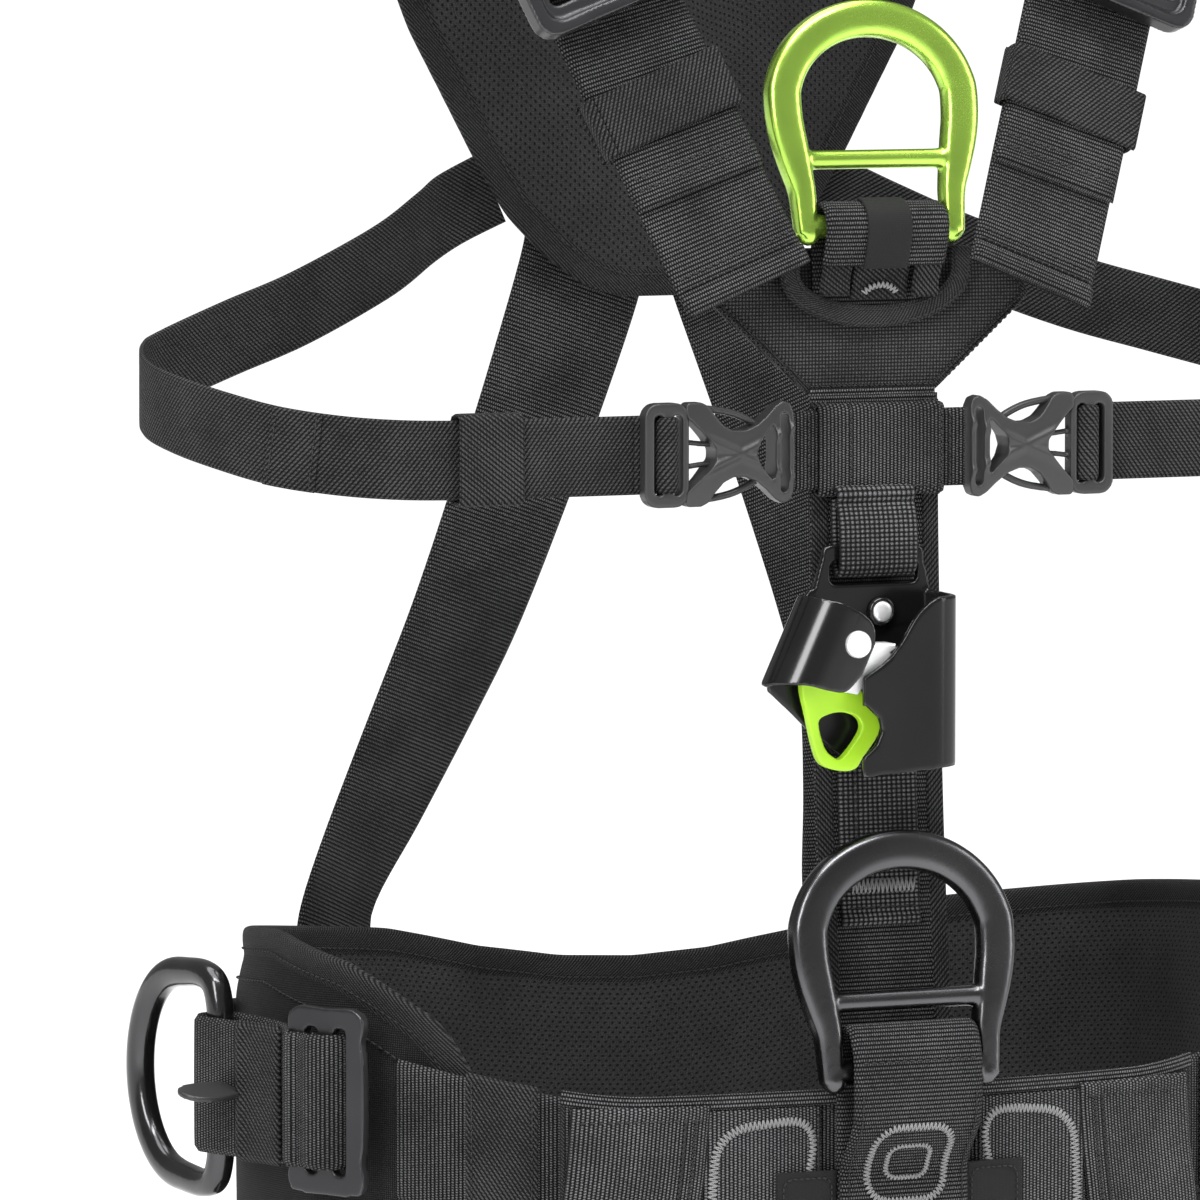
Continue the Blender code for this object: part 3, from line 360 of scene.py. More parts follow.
def settle(obj, body="harness", nodes=()):
    """The piece rides on its body and stands for its CAD nodes."""
    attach(obj, body)
    if nodes:
        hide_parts(*([nodes] if isinstance(nodes, str) else nodes))
    return obj


def bake(obj):
    """Apply the object's modifiers to its mesh."""
    graph = bpy.context.evaluated_depsgraph_get()
    made = bpy.data.meshes.new_from_object(obj.evaluated_get(graph))
    obj.modifiers.clear()
    obj.data = made
    made.shade_smooth()
    return obj


def fuse(obj, voxel, passes, keep=1.0):
    """Melt overlapping bodies into one skin with soft inner corners. Sizes in millimetres."""
    mat = list(obj.data.materials)
    grid = obj.modifiers.new("skin", "REMESH")
    grid.mode = "VOXEL"
    grid.voxel_size = voxel * MM
    soft = obj.modifiers.new("soft", "SMOOTH")
    soft.factor = 0.5
    soft.iterations = passes
    if keep < 1.0:
        thin = obj.modifiers.new("thin", "DECIMATE")
        thin.ratio = keep
    bake(obj)
    obj.data.materials.clear()
    for m in mat:
        obj.data.materials.append(m)
    return obj


def merged(parts):
    """(verts, faces) of several pieces as one."""
    verts, faces, at = [], [], 0
    for v, f in parts:
        verts.append(np.asarray(v, float))
        faces += [tuple(i + at for i in face) for face in f]
        at += len(v)
    return np.concatenate(verts), faces


# ---------------------------------------------------------------- curves
def unit(v):
    v = np.asarray(v, float)
    return v / np.maximum(np.linalg.norm(v, axis=-1, keepdims=True), 1e-9)


def lerp(a, b, t):
    return a + (b - a) * t


def smooth(x, a, b):
    t = np.clip((np.asarray(x, float) - a) / (b - a), 0, 1)
    return t * t * (3 - 2 * t)


def table(x, pairs):
    return np.interp(x, [p[0] for p in pairs], [p[1] for p in pairs])


def catmull(values, steps=10, closed=False):
    """A smooth curve through values, with steps points for each gap."""
    p = np.asarray(values, float)
    n = len(p)
    out = []
    for i in range(n if closed else n - 1):
        at = [(i + k) % n for k in (-1, 0, 1, 2)] if closed else [max(i - 1, 0), i, i + 1, min(i + 2, n - 1)]
        p0, p1, p2, p3 = p[at]
        t = (np.arange(steps) / steps)[:, None] if p.ndim > 1 else np.arange(steps) / steps
        out.append(0.5 * (2 * p1 + (p2 - p0) * t + (2 * p0 - 5 * p1 + 4 * p2 - p3) * t ** 2
                          + (3 * p1 - p0 - 3 * p2 + p3) * t ** 3))
    if not closed:
        out.append(p[-1:])
    return np.concatenate(out)


def mirrored(s, points):
    """Points given for the wearer's left, on the side s."""
    return [np.array((s * x, y, z)) for x, y, z in points]


def arc(cx, cy, rx, ry, a0, a1, steps):
    t = np.radians(np.linspace(a0, a1, steps + 1))
    return list(zip(cx + rx * np.cos(t), cy + ry * np.sin(t)))


def around(cx, cy, rx, ry, angles):
    """Points round a bar, at angles in degrees."""
    return [(cx + rx * math.cos(math.radians(q)), cy + ry * math.sin(math.radians(q))) for q in angles]


def rounded(w, h, r, cx=0.0, cy=0.0, steps=6):
    """The outline of a rectangle with round corners."""
    x, y = w / 2 - r, h / 2 - r
    return (arc(cx + x, cy + y, r, r, 0, 90, steps) + arc(cx - x, cy + y, r, r, 90, 180, steps)
            + arc(cx - x, cy - y, r, r, 180, 270, steps) + arc(cx + x, cy - y, r, r, 270, 360, steps))


# ---------------------------------------------------------------- strips: straps and pads
class Strip:
    """A strap's surface: place(s, x, off) is the point s along it, x across it and off above it."""

    def __init__(self, points, normals):
        self.p, self.n = np.asarray(points, float), unit(normals)
        self.width = np.linalg.norm(np.diff(self.p, axis=1), axis=2).sum(1)
        middle = self.p[:, self.p.shape[1] // 2]
        self.s = np.concatenate([[0], np.cumsum(np.linalg.norm(np.diff(middle, axis=0), axis=1))])
        self.length = self.s[-1]
        across = self.p[len(self.p) // 2, -1] - self.p[len(self.p) // 2, 0]
        along = self.p[len(self.p) // 2 + 1, 0] - self.p[len(self.p) // 2 - 1, 0]
        self.turn = np.cross(along, across) @ self.n[len(self.p) // 2, 0] > 0

    @classmethod
    def along(cls, path, wdir, width, face, steps=8, columns=5):
        """A strap that follows a path, its width along wdir and its outer side towards face at its start."""
        path = np.asarray(path, float)
        wdir = np.asarray(wdir, float)
        wdir = np.tile(wdir, (len(path), 1)) if wdir.ndim == 1 else wdir
        mid, w = catmull(path, steps), unit(catmull(wdir, steps))
        n = unit(np.cross(unit(np.gradient(mid, axis=0)), w))
        if n[0] @ np.asarray(face, float) < 0:
            n = -n
        wide = np.atleast_1d(np.asarray(width, float))
        wide = np.interp(np.linspace(0, 1, len(mid)), np.linspace(0, 1, len(wide)), wide)
        half = (wide / 2)[:, None, None] * np.linspace(-1, 1, columns)[None, :, None]
        return cls(mid[:, None] + w[:, None] * half, np.repeat(n[:, None], columns, 1))

    @classmethod
    def rows(cls, rows, steps=6):
        """A strap given as rows of (point, outward direction) pairs."""
        p = np.array([[q[0] for q in row] for row in rows])
        n = np.array([[q[1] for q in row] for row in rows])
        k = p.shape[1]
        p = catmull(p.reshape(len(p), -1), steps).reshape(-1, k, 3)
        n = catmull(n.reshape(len(n), -1), steps).reshape(-1, k, 3)
        return cls(p, n)

    def place(self, s, x, off=0.0):
        s, x, off = np.broadcast_arrays(np.asarray(s, float), np.asarray(x, float), np.asarray(off, float))
        i = np.interp(s, self.s, np.arange(len(self.s)))
        i0 = np.clip(np.floor(i).astype(int), 0, len(self.s) - 2)
        a = (i - i0)[..., None]
        w = np.interp(s, self.s, self.width)
        j = (x / w + 0.5) * (self.p.shape[1] - 1)
        j0 = np.clip(np.floor(j).astype(int), 0, self.p.shape[1] - 2)
        b = (j - j0)[..., None]
        mix = lambda g: ((g[i0, j0] * (1 - a) + g[i0 + 1, j0] * a) * (1 - b)
                         + (g[i0, j0 + 1] * (1 - a) + g[i0 + 1, j0 + 1] * a) * b)
        return mix(self.p) + unit(mix(self.n)) * off[..., None]


def ends_and_steps(a, b, step, fine=(0.0, 0.25, 0.7, 1.4)):
    """Positions from a to b, closer together near both ends."""
    edge = [f for f in fine if f < (b - a) / 2]
    inner = np.linspace(a + edge[-1], b - edge[-1], max(2, int(round((b - a) / step))))
    return np.concatenate([a + np.array(edge[:-1]), inner, b - np.array(edge[:-1][::-1])])


def shell_mesh(strip, s, x, low, high):
    """Closed skin between two heights over a grid; both meet along its rim. Returns verts, faces, uv."""
    rows, cols = s.shape
    inner = np.ones((rows, cols), bool)
    inner[0] = inner[-1] = False
    inner[:, 0] = inner[:, -1] = False
    top = np.arange(rows * cols).reshape(rows, cols)
    low_id = top.copy()
    low_id[inner] = rows * cols + np.arange(inner.sum())
    rim = ~inner
    high = np.where(rim, (low + high) / 2, high)
    verts = np.concatenate([strip.place(s, x, high).reshape(-1, 3), strip.place(s, x, low)[inner]])
    flat = np.stack([x, s], -1)
    uv = np.concatenate([flat.reshape(-1, 2), flat[inner]])
    quads = lambda g: np.stack([g[:-1, :-1], g[1:, :-1], g[1:, 1:], g[:-1, 1:]], -1).reshape(-1, 4)
    up, down = quads(top), quads(low_id)
    if strip.turn:
        down = down[:, ::-1]
    else:
        up = up[:, ::-1]
    return verts, np.concatenate([up, down]).tolist(), uv


def band(name, strip, thick, mat, s=None, x=None, off=0.0, roll=(0.0, 0.0), body="harness", nodes=(),
         ripple=0.12, step=2.0, columns=14):
    """A length of webbing on a strip, with rounded selvedges and, where asked, rolled ends."""
    s0, s1 = s or (0.0, strip.length)
    x0, x1 = x or (-strip.width.mean() / 2, strip.width.mean() / 2)
    t = np.linspace(-1, 1, columns + 1)
    t = 0.45 * t + 0.55 * np.sin(t * math.pi / 2)
    at = ends_and_steps(s0, s1, step)
    gs, gt = np.meshgrid(at, t, indexing="ij")
    gx = (x0 + x1) / 2 + (x1 - x0) / 2 * gt
    # selvedges are a touch thicker, then round off, and the ends round off too
    side = np.sqrt(np.maximum(1 - np.abs(gt) ** 14, 0))
    side = side * (1 + 0.14 * np.exp(-((np.abs(gt) - 0.9) / 0.05) ** 2))
    near = np.minimum(gs - s0, s1 - gs)
    end = np.sqrt(np.clip(1 - (1 - np.clip(near / (thick * 0.45), 0, 1)) ** 2, 0, 1))
    body_t = thick / 2 * side * end
    bulge = roll[0] * np.exp(-((gs - s0 - 2.2) / 1.7) ** 2) + roll[1] * np.exp(-((s1 - gs - 2.2) / 1.7) ** 2)
    seed = sum(map(ord, name)) % 97
    drift = np.array([[noise.noise(Vector((a / 26.0, b / 21.0, seed))) for b in gx[0]] for a in at]) * ripple
    high = off + thick / 2 + body_t + bulge * side * end + drift
    low = off + thick / 2 - body_t + drift
    verts, faces, uv = shell_mesh(strip, gs, gx, low, high)
    obj = new_object(name, verts, faces, mat, uv)
    return settle(obj, body, nodes)


class Thread:
    """Sewing thread, gathered stitch by stitch and made into one piece."""

    def __init__(self, name, mat, radius, body="harness"):
        self.name, self.mat, self.r, self.body = name, mat, radius, body
        self.segments = []

    def sew(self, strip, pairs, off):
        """pairs of ((s, x), (s, x)) ends on a strip's surface, off above it."""
        if len(pairs):
            ends = np.asarray(pairs, float)
            a = strip.place(ends[:, 0, 0], ends[:, 0, 1], off)
            b = strip.place(ends[:, 1, 0], ends[:, 1, 1], off)
            up = -1.0 if off < 0 else 1.0
            n = unit(strip.place(ends[:, 0, 0], ends[:, 0, 1], off + up) - a)
            self.segments.append((a, b, n))

    def build(self, sides=5):
        a = np.concatenate([g[0] for g in self.segments])
        b = np.concatenate([g[1] for g in self.segments])
        n = np.concatenate([g[2] for g in self.segments])
        r = self.r
        along = unit(b - a)
        across = unit(np.cross(along, n))
        rings = []
        for t, lift, size in ((-0.02, -0.9, 0.45), (0.12, 0.25, 0.95), (0.5, 0.55, 1.05), (0.88, 0.25, 0.95),
                              (1.02, -0.9, 0.45)):
            centre = a + (b - a) * t + n * (lift * r)
            for k in range(sides):
                g = 2 * math.pi * k / sides
                rings.append(centre + across * (math.cos(g) * size * r) + n * (math.sin(g) * size * r))
        verts = np.stack(rings, 1).reshape(-1, 3)
        per = 5 * sides
        faces = []
        for i in range(len(a)):
            base = i * per
            for ring in range(4):
                for k in range(sides):
                    m = (k + 1) % sides
                    p, q = base + ring * sides, base + (ring + 1) * sides
                    faces.append((p + k, p + m, q + m, q + k))
            faces.append(tuple(base + k for k in reversed(range(sides))))
            faces.append(tuple(base + 4 * sides + k for k in range(sides)))
        obj = new_object(self.name, verts, faces, self.mat)
        return settle(obj, self.body)


def dashes(line, pitch=3.0, share=0.72):
    """A run of plain stitches along a line of (s, x) points."""
    line = np.asarray(line, float)
    seg = np.linalg.norm(np.diff(line, axis=0), axis=1)
    total = np.concatenate([[0], np.cumsum(seg)])
    count = max(1, int(round(total[-1] / pitch)))
    pairs = []
    for i in range(count):
        t0 = (i + (1 - share) / 2) * total[-1] / count
        t1 = t0 + share * total[-1] / count
        pairs.append([[np.interp(t, total, line[:, k]) for k in (0, 1)] for t in (t0, t1)])
    return pairs


def zigzag(line, width, pitch=0.8):
    """Satin stitches that run from side to side along a line of (s, x) points."""
    line = np.asarray(line, float)
    total = np.concatenate([[0], np.cumsum(np.linalg.norm(np.diff(line, axis=0), axis=1))])
    count = max(2, int(total[-1] / pitch))
    t = np.linspace(0, total[-1], count + 1)
    mid = np.stack([np.interp(t, total, line[:, k]) for k in (0, 1)], 1)
    d = unit(np.gradient(mid, axis=0))
    side = np.stack([-d[:, 1], d[:, 0]], 1) * (width / 2)
    pts = [mid[i] + side[i] * (1 if i % 2 else -1) for i in range(count + 1)]
    return [[pts[i], pts[i + 1]] for i in range(count)]


def on_line(s0, x0, s1, x1):
    return [(s0, x0), (s1, x1)]


def satin(strip, line, width, pitch, off, thread="grey"):
    """Satin stitches sewn along a line on a strap."""
    THREAD[thread].sew(strip, zigzag(line, width, pitch), off)


THREAD = {
    "black": Thread("stitching_black", "black_thread", 0.3),
    "grey": Thread("stitching_grey", "grey_thread", 0.34),
}


def pad(name, strip, thick, mats, nodes, hold=None, edge=8.0, rim=2.5, step=4.0,
        columns=30, cap=2.5):
    """A foam pad with a bound edge: the rim and the seam beside it are held, and the rest is blown up.
    mats are the outer and the inner face; hold(s, x) is true where a strap presses on it."""
    fine = (0.0, 0.5, 1.3, 2.4, 4.0, 6.2)
    s = ends_and_steps(0.0, strip.length, step, fine)
    reach = strip.width.max() / 2
    t = ends_and_steps(-reach, reach, 2 * reach / columns, fine) / reach
    gs, gt = np.meshgrid(s, t, indexing="ij")
    gx = gt * np.interp(gs, strip.s, strip.width) / 2
    d = rim_distance(strip, gs, gx)
    lip = rim * np.sqrt(np.clip(1 - (1 - np.clip(d / rim, 0, 1)) ** 2, 0, 1))
    groove = 0.35 * rim * np.exp(-((d - edge) / 1.1) ** 2)
    swell = (thick / 2 * 0.88 - rim) * smooth(d, edge, edge + 15)
    half = lip - groove + swell
    wander = np.array([[noise.noise(Vector((a / 33.0, b / 24.0, len(name)))) for b in row] for a, row in
                       zip(s, gx)]) * 0.5 * smooth(d, edge, edge + 12)
    verts, faces, uv = shell_mesh(strip, gs, gx, -half + wander, half + wander)
    inner = np.ones(gs.shape, bool)
    inner[0] = inner[-1] = inner[:, 0] = inner[:, -1] = False
    obj = new_object(name, verts, faces, mats, uv, rim=np.concatenate([d.reshape(-1), d[inner]]) / edge)
    index = np.repeat([0, 1], len(faces) // 2).astype(np.int32)
    obj.data.polygons.foreach_set("material_index", index)
    fixed = d < edge + 1.5
    pressed = fixed if hold is None else fixed | hold(gs, gx)
    puff(obj, np.concatenate([pressed.reshape(-1), fixed[inner]]), cap)
    soft = obj.modifiers.new("soft", "SUBSURF")
    soft.levels = soft.render_levels = 1
    settle(obj, "harness", nodes)
    return obj


def rim_distance(strip, s, x):
    """How far points of a strip are from its edge, seen flat."""
    ring = rim_ring(strip, 1.5)
    flat = np.stack([s.ravel(), x.ravel()], 1)
    near = np.concatenate([np.linalg.norm(part[:, None] - ring[None], axis=2).min(1)
                           for part in np.array_split(flat, 40)])
    near = near.reshape(s.shape)
    near[0] = near[-1] = 0.0
    near[:, 0] = near[:, -1] = 0.0
    return near


def rim_ring(strip, step):
    """The strip's outline as (s, x) points."""
    s = np.arange(0.0, strip.length + step / 2, step).clip(0, strip.length)
    w = np.interp(s, strip.s, strip.width) / 2
    first = [[0.0, x] for x in np.arange(w[0], -w[0], -step)]
    last = [[strip.length, x] for x in np.arange(-w[-1], w[-1], step)]
    return np.array(list(zip(s, -w)) + last + list(zip(s[::-1], w[::-1])) + first)


def puff(obj, fixed, cap, pressure=4.0, frames=14):
    """Blow the piece up with the cloth solver, holding the fixed points, and keep every point within cap."""
    mesh = obj.data
    rest = np.zeros(len(mesh.vertices) * 3)
    mesh.vertices.foreach_get("co", rest)
    rest = rest.reshape(-1, 3)
    group = obj.vertex_groups.new(name="held")
    group.add(np.flatnonzero(fixed).tolist(), 1.0, "REPLACE")
    cloth = obj.modifiers.new("cloth", "CLOTH")
    cloth.settings.quality = 4
    cloth.settings.mass = 0.15
    cloth.settings.tension_stiffness = cloth.settings.compression_stiffness = 10
    cloth.settings.bending_stiffness = 0.4
    cloth.settings.use_pressure = True
    cloth.settings.uniform_pressure_force = pressure
    cloth.settings.vertex_group_mass = group.name
    cloth.settings.effector_weights.gravity = 0.0
    cloth.point_cache.frame_start, cloth.point_cache.frame_end = 1, frames
    scene = bpy.context.scene
    for f in range(1, frames + 1):
        scene.frame_set(f)
    graph = bpy.context.evaluated_depsgraph_get()
    blown = np.zeros(len(mesh.vertices) * 3)
    obj.evaluated_get(graph).data.vertices.foreach_get("co", blown)
    move = blown.reshape(-1, 3) - rest
    size = np.linalg.norm(move, axis=1, keepdims=True)
    move *= np.minimum(1.0, cap * MM / np.maximum(size, 1e-9))
    obj.modifiers.clear()
    obj.vertex_groups.clear()
    scene.frame_set(1)
    mesh.vertices.foreach_set("co", (rest + move).ravel())
    mesh.update()


# ---------------------------------------------------------------- belt curves, as in the CAD
PAD_TOP = [(57, 40), (62, 51), (70, 64), (75, 70), (90, 76), (105, 72), (120, 67), (135, 62.5),
           (150, 54), (165, 49), (180, 47.5)]
PAD_LOW = [(57, -14), (64, -30), (75, -44), (90, -54), (120, -60), (150, -66), (180, -70)]


def belt_out(phi):
    s, c = np.sin(np.radians(phi)), np.cos(np.radians(phi))
    r = ((np.abs(s) / BELT_A) ** BELT_N + (np.abs(c) / BELT_B) ** BELT_N) ** (-1 / BELT_N)
    x, y = r * s, -r * c
    n = np.stack([np.sign(x) * np.abs(x) ** (BELT_N - 1) / BELT_A ** BELT_N,
                  np.sign(y) * np.abs(y) ** (BELT_N - 1) / BELT_B ** BELT_N, np.zeros_like(x)], -1)
    return np.stack([x, y, np.zeros_like(x)], -1), unit(n)


def belt(phi, off):
    p, n = belt_out(np.asarray(phi, float))
    return p + n * off


def fold_angle(phi):
    return np.abs((np.asarray(phi, float) + 180) % 360 - 180)


def band_z(phi):
    """Height of the belt's middle line."""
    a = fold_angle(phi)
    return 5.0 + 21.5 * smooth(a, 40, 85) - 16.5 * smooth(a, 95, 150)


def belt_strip(phi0, phi1, low, high, columns=5, degrees=1.8, off=0.0):
    """A strip round the belt, from low(phi) to high(phi)."""
    phi = np.linspace(phi0, phi1, int(abs(phi1 - phi0) / degrees) + 2)
    p, n = belt_out(phi)
    z = low(phi)[:, None] + (high(phi) - low(phi))[:, None] * np.linspace(0, 1, columns)
    points = np.repeat((p + n * off)[:, None], columns, 1)
    points[..., 2] = z
    return Strip(points, np.repeat(n[:, None], columns, 1))


def across_belt(phi, z, off, lean, half, samples=7):
    """Points across a strap lying on the belt, with its width leaning by lean."""
    scale = np.linalg.norm(belt(phi + 1, off) - belt(phi - 1, off)) / 2
    row = []
    for u in np.linspace(-half, half, samples):
        p, n = belt_out(np.array(phi + u / scale))
        row.append((p + n * off + UP * (z + u * lean), n))
    return row


def flat_row(centre, wdir, normal, half, samples=7):
    w, n = unit(wdir), unit(normal)
    return [(np.asarray(centre, float) + w * u, n) for u in np.linspace(-half, half, samples)]


def mix_rows(a, b, t):
    return [(p * (1 - t) + q * t, unit(m * (1 - t) + n * t)) for (p, m), (q, n) in zip(a, b)]


def drop_strip(phi, top, bottom, off, width):
    """A strip that runs down the outside of the belt."""
    return Strip.rows([across_belt(phi, z, off, 0.0, width / 2) for z in np.linspace(top, bottom, 6)])


# ---------------------------------------------------------------- seams
def rim_line(strip, inset):
    """A closed line of (s, x) points that keeps a distance from the strip's edge."""
    ring = rim_ring(strip, 2.0)
    d = unit(np.roll(ring, -1, 0) - np.roll(ring, 1, 0))
    inner = ring + np.stack([-d[:, 1], d[:, 0]], 1) * inset
    gap = np.linalg.norm(inner[:, None] - ring[None], axis=2).min(1)
    return inner[gap > inset * 0.95]


def seam(strip, inset, off, pitch=2.6):
    """Plain stitches round a pad, on one face of it. A negative off is the inner face."""
    line = rim_line(strip, inset)
    pairs = dashes(np.vstack([line, line[:1]]), pitch)
    pairs = [p for p in pairs if np.hypot(*(np.subtract(p[0], p[1]))) < pitch]
    THREAD["black"].sew(strip, pairs, off)


def row(strip, line, off, pitch, zig):
    """One black row: plain stitches, or satin ones where zig gives them a width."""
    THREAD["black"].sew(strip, zigzag(line, zig, 0.9) if zig else dashes(line, pitch), off)


def rows_across(strip, at, half, off, pitch=2.6, zig=0.0):
    """Rows of stitches across a strap at the given distances along it."""
    for s in at:
        row(strip, on_line(s, -half, s, half), off, pitch, zig)


def rows_along(strip, xs, s0, s1, off, pitch=2.6, zig=0.0):
    """Rows of stitches along a strap at the given distances from its middle."""
    for x in xs:
        row(strip, on_line(s0, x, s1, x), off, pitch, zig)


def soft_square(s, x, ds, dx, r, steps=5):
    """A closed rounded rectangle as (s, x) points."""
    ring = rounded(ds, dx, r, s, x, steps)
    return ring + ring[:1]


# ---------------------------------------------------------------- waist belt
def build_belt():
    pinch = lambda phi: smooth(fold_angle(phi), 51, 64)
    top = lambda phi: table(fold_angle(phi), PAD_TOP)
    low = lambda phi: table(fold_angle(phi), PAD_LOW)
    middle = lambda phi: (top(phi) + low(phi)) / 2
    strip = belt_strip(57, 303, lambda a: lerp(middle(a), low(a), pinch(a)),
                       lambda a: lerp(middle(a), top(a), pinch(a)), 25, 1.6, -PAD_T / 2)
    phis = np.linspace(57, 303, len(strip.s))
    mid_z = strip.p[:, 12, 2]

    def under_webbing(s, x):
        z = np.interp(s, strip.s, mid_z) + x
        return np.abs(z - band_z(np.interp(s, strip.s, phis))) < 24.5

    pad("belt_padding", strip, PAD_T, ("shell", "lining"), nodes="belt_pad", hold=under_webbing,
        edge=9.0, rim=2.9, columns=36, cap=1.6)
    for off in (2.75, -2.75):
        seam(strip, 7.4, off)
    seam(strip, 17.0, 4.6)

    flat = lambda half: (lambda a: band_z(a) - half, lambda a: band_z(a) + half)
    rear = belt_strip(99, 261, *flat(WEB / 2))
    band("belt_rear_strap", rear, WEB_T, "webbing", off=0.6, nodes="belt_rear_webbing")
    rows_along(rear, (-17, 17), 30, rear.length - 30, 3.0, pitch=3.2)
    front = belt_strip(-67, 67, *flat(WEB / 2))
    band("belt_front_strap", front, WEB_T, "webbing", off=GAP, nodes="belt_front_band")
    panel = belt_strip(-50, 50, *flat(25.0))
    face = 2 * GAP + WEB_T
    band("belt_front_panel", panel, WEB_T, "webbing", off=face, roll=(1.2, 1.2), nodes="front_panel")
    band("panel_top_hem", panel, 1.5, "webbing_light", x=(20.2, 25.2), off=face + WEB_T - 0.4,
         ripple=0.3)
    for i, end in enumerate((0, panel.length - 13.0)):
        band(f"panel_end_tape_{i}", panel, 0.9, "binding", s=(end, end + 13.0), off=face + WEB_T - 0.1)
        rows_across(panel, (end + 4.0, end + 9.0), 20, face + WEB_T + 0.85, zig=1.2)
    rows_along(panel, (18.6,), 16, panel.length - 16, face + WEB_T + 0.1)
    outer_face = face + WEB_T + 0.25

    for s, side in SIDES:
        # inner ends of the leg straps, with a satin-stitched U, and a blank tab below
        patch = drop_strip(s * 23.9, 25.0, -19.0, outer_face - 0.4, 41)
        band(f"riser_patch_{side}", patch, 1.7, "webbing_light", step=1.6)
        u_line = [(42.0, -17.4), (18.0, -16.4), (10.5, -14.2), (6.2, -8.5), (4.8, 2.0), (4.6, 11.0),
                  (6.8, 15.2), (12.0, 17.0), (20.0, 15.6), (28.0, 13.4)]
        u_line = [(a, b * -s) for a, b in u_line]
        satin(patch, catmull(u_line, 6), 3.0, 0.7, 1.75)
        rows_along(patch, (s * -19.0,), 3, 40, 1.75, zig=0.9)
        tab = drop_strip(s * 17.2, 4.5, -16.5, outer_face + 1.5, 21)
        band(f"tab_{side}", tab, 1.3, "label", step=1.5)
        line = soft_square(tab.length / 2, 0, tab.length - 4.5, 16.5, 3.0)
        THREAD["black"].sew(tab, dashes(line, 2.0), 1.35)

        half = KEEPER / 2 / np.linalg.norm(belt(57, 3) - belt(56, 3))
        keeper = belt_strip(s * 56 - half, s * 56 + half, *flat(24.6))
        band(f"belt_keeper_tape_{side}", keeper, 1.4, "elastic", off=GAP + WEB_T + 0.4,
             nodes=f"belt_keeper_{side}")
        rows_across(keeper, (2.0, keeper.length - 2.0), 22, GAP + WEB_T + 1.9, pitch=2.2)


def build_front_strap():
    path = [(0, y, z) for y, z in (
        (-90.7, 249.2), (-90.7, 232), (-90.9, 214), (-92.0, 180), (-93.4, 150), (-95.2, 120), (-97.2, 95),
        (-99.4, 72), (-101.6, 50), (-103.2, 32), (-103.5, 14), (-103.5, -18))]
    strip = Strip.along(path, (1, 0, 0), WEB, (0, -1, 0))
    band("front_strap_webbing", strip, WEB_T, "webbing", off=-WEB_T / 2, nodes="front_strap",
         step=1.8)
    # selvedge ridges, and a narrow tape sewn down the middle below the ascender
    for s in (-1, 1):
        band(f"front_selvedge_{'rl'[s > 0]}", strip, 0.7, "chevron", s=(2, 235),
             x=(s * 19.4 - 2.9, s * 19.4 + 2.9), off=WEB_T / 2 - 0.35)
    tape_end = 249.2 - 80.5
    band("front_tape", strip, 1.5, "coarse", s=(95.0, tape_end + 0.8), x=(-15.4, 12.6), off=WEB_T / 2 + 0.15,
         roll=(0, 1.5), step=1.6)
    lift = WEB_T / 2 + 1.75
    satin(strip, on_line(tape_end - 12.0, -11.5, tape_end - 12.0, 10.5), 4.6, 0.75, lift)
    THREAD["black"].sew(strip, dashes(on_line(tape_end - 5.2, -13, tape_end - 5.2, 11), 2.4, 0.8), lift)
    rows_along(strip, (-9.5,), 100, tape_end - 18, lift, pitch=2.8)


def build_ventral_loop():
    """The loop of the waist ring, with its two satin-stitched squares."""
    b = VENTRAL_BAR
    y0 = -(BELT_B + 2 * GAP + 2 * WEB_T) - GAP - WEB_T / 2
    y1 = y0 - GAP - WEB_T
    wrap = around(b[1], b[2], 6.9, LOOP_RISE, range(0, 181, 30))
    path = [(y0, -62), (y0, 0), (y0, 31)] + wrap + [(b[1] - 6.0, 20), (y1 - 0.6, 6), (y1, -8), (y1, -62)]
    strip = Strip.along([(0, y, z) for y, z in path], (1, 0, 0), WEB, (0, 1, 0))
    band("ventral_strap_webbing", strip, WEB_T, "webbing", off=-WEB_T / 2, nodes="ventral_strap",
         step=1.6)
    crown = strip.s[np.argmax(strip.p[:, 2, 2])]
    at = crown + (b[2] + LOOP_RISE - 3.0) + 1.0
    lift = WEB_T / 2 + 0.15
    satin(strip, soft_square(at, 0.0, 28.0, 27.0, 7.5), 2.6, 0.7, lift)
    satin(strip, soft_square(at, 0.0, 13.0, 14.4, 3.6), 1.8, 0.6, lift)
    rows_along(strip, (-19.8, 19.8), crown + 24, strip.length - 6, lift, pitch=2.6)
    rows_across(strip, (crown + 13.5,), 20, lift)


def build_leg_risers():
    for s, side in SIDES:
        rows = [across_belt(s * phi, z, 3 * GAP + 2 * WEB_T, 0.0, WEB / 2) for z, phi in
                ((27, 40.5), (5, 41.2), (-23, 42.5))]
        low = [(92, -101.5, -60), (95, -97.5, -100), (97, -92.0, -140), (98, -88.2, -170), (98, -87.6, -196)]
        for i, (x, y, z) in enumerate(low):
            phi = math.radians(s * (34 - 7 * i))
            rows.append(flat_row((s * x, y, z), (math.cos(phi), math.sin(phi), 0),
                                 (math.sin(phi), -math.cos(phi), 0), WEB / 2))
            if i == 0:
                rows[-1] = mix_rows(rows[-1], [(q - UP * 37, m) for q, m in rows[-2]], 0.5)
        strip = Strip.rows(rows)
        band(f"leg_riser_webbing_{side}", strip, WEB_T, "webbing_light", nodes=f"leg_riser_{side}",
             roll=(0.8, 0))
        lift = WEB_T + 0.1
        rows_along(strip, (s * -13.5, s * -17.0), 3, 46, lift, zig=1.3)
        rows_across(strip, (4.5,), 20, lift)
        rows_across(strip, (strip.length - 30, strip.length - 6), 19, lift, zig=2.0)
        rows_along(strip, (-18.5, 18.5), strip.length - 30, strip.length - 6, lift)


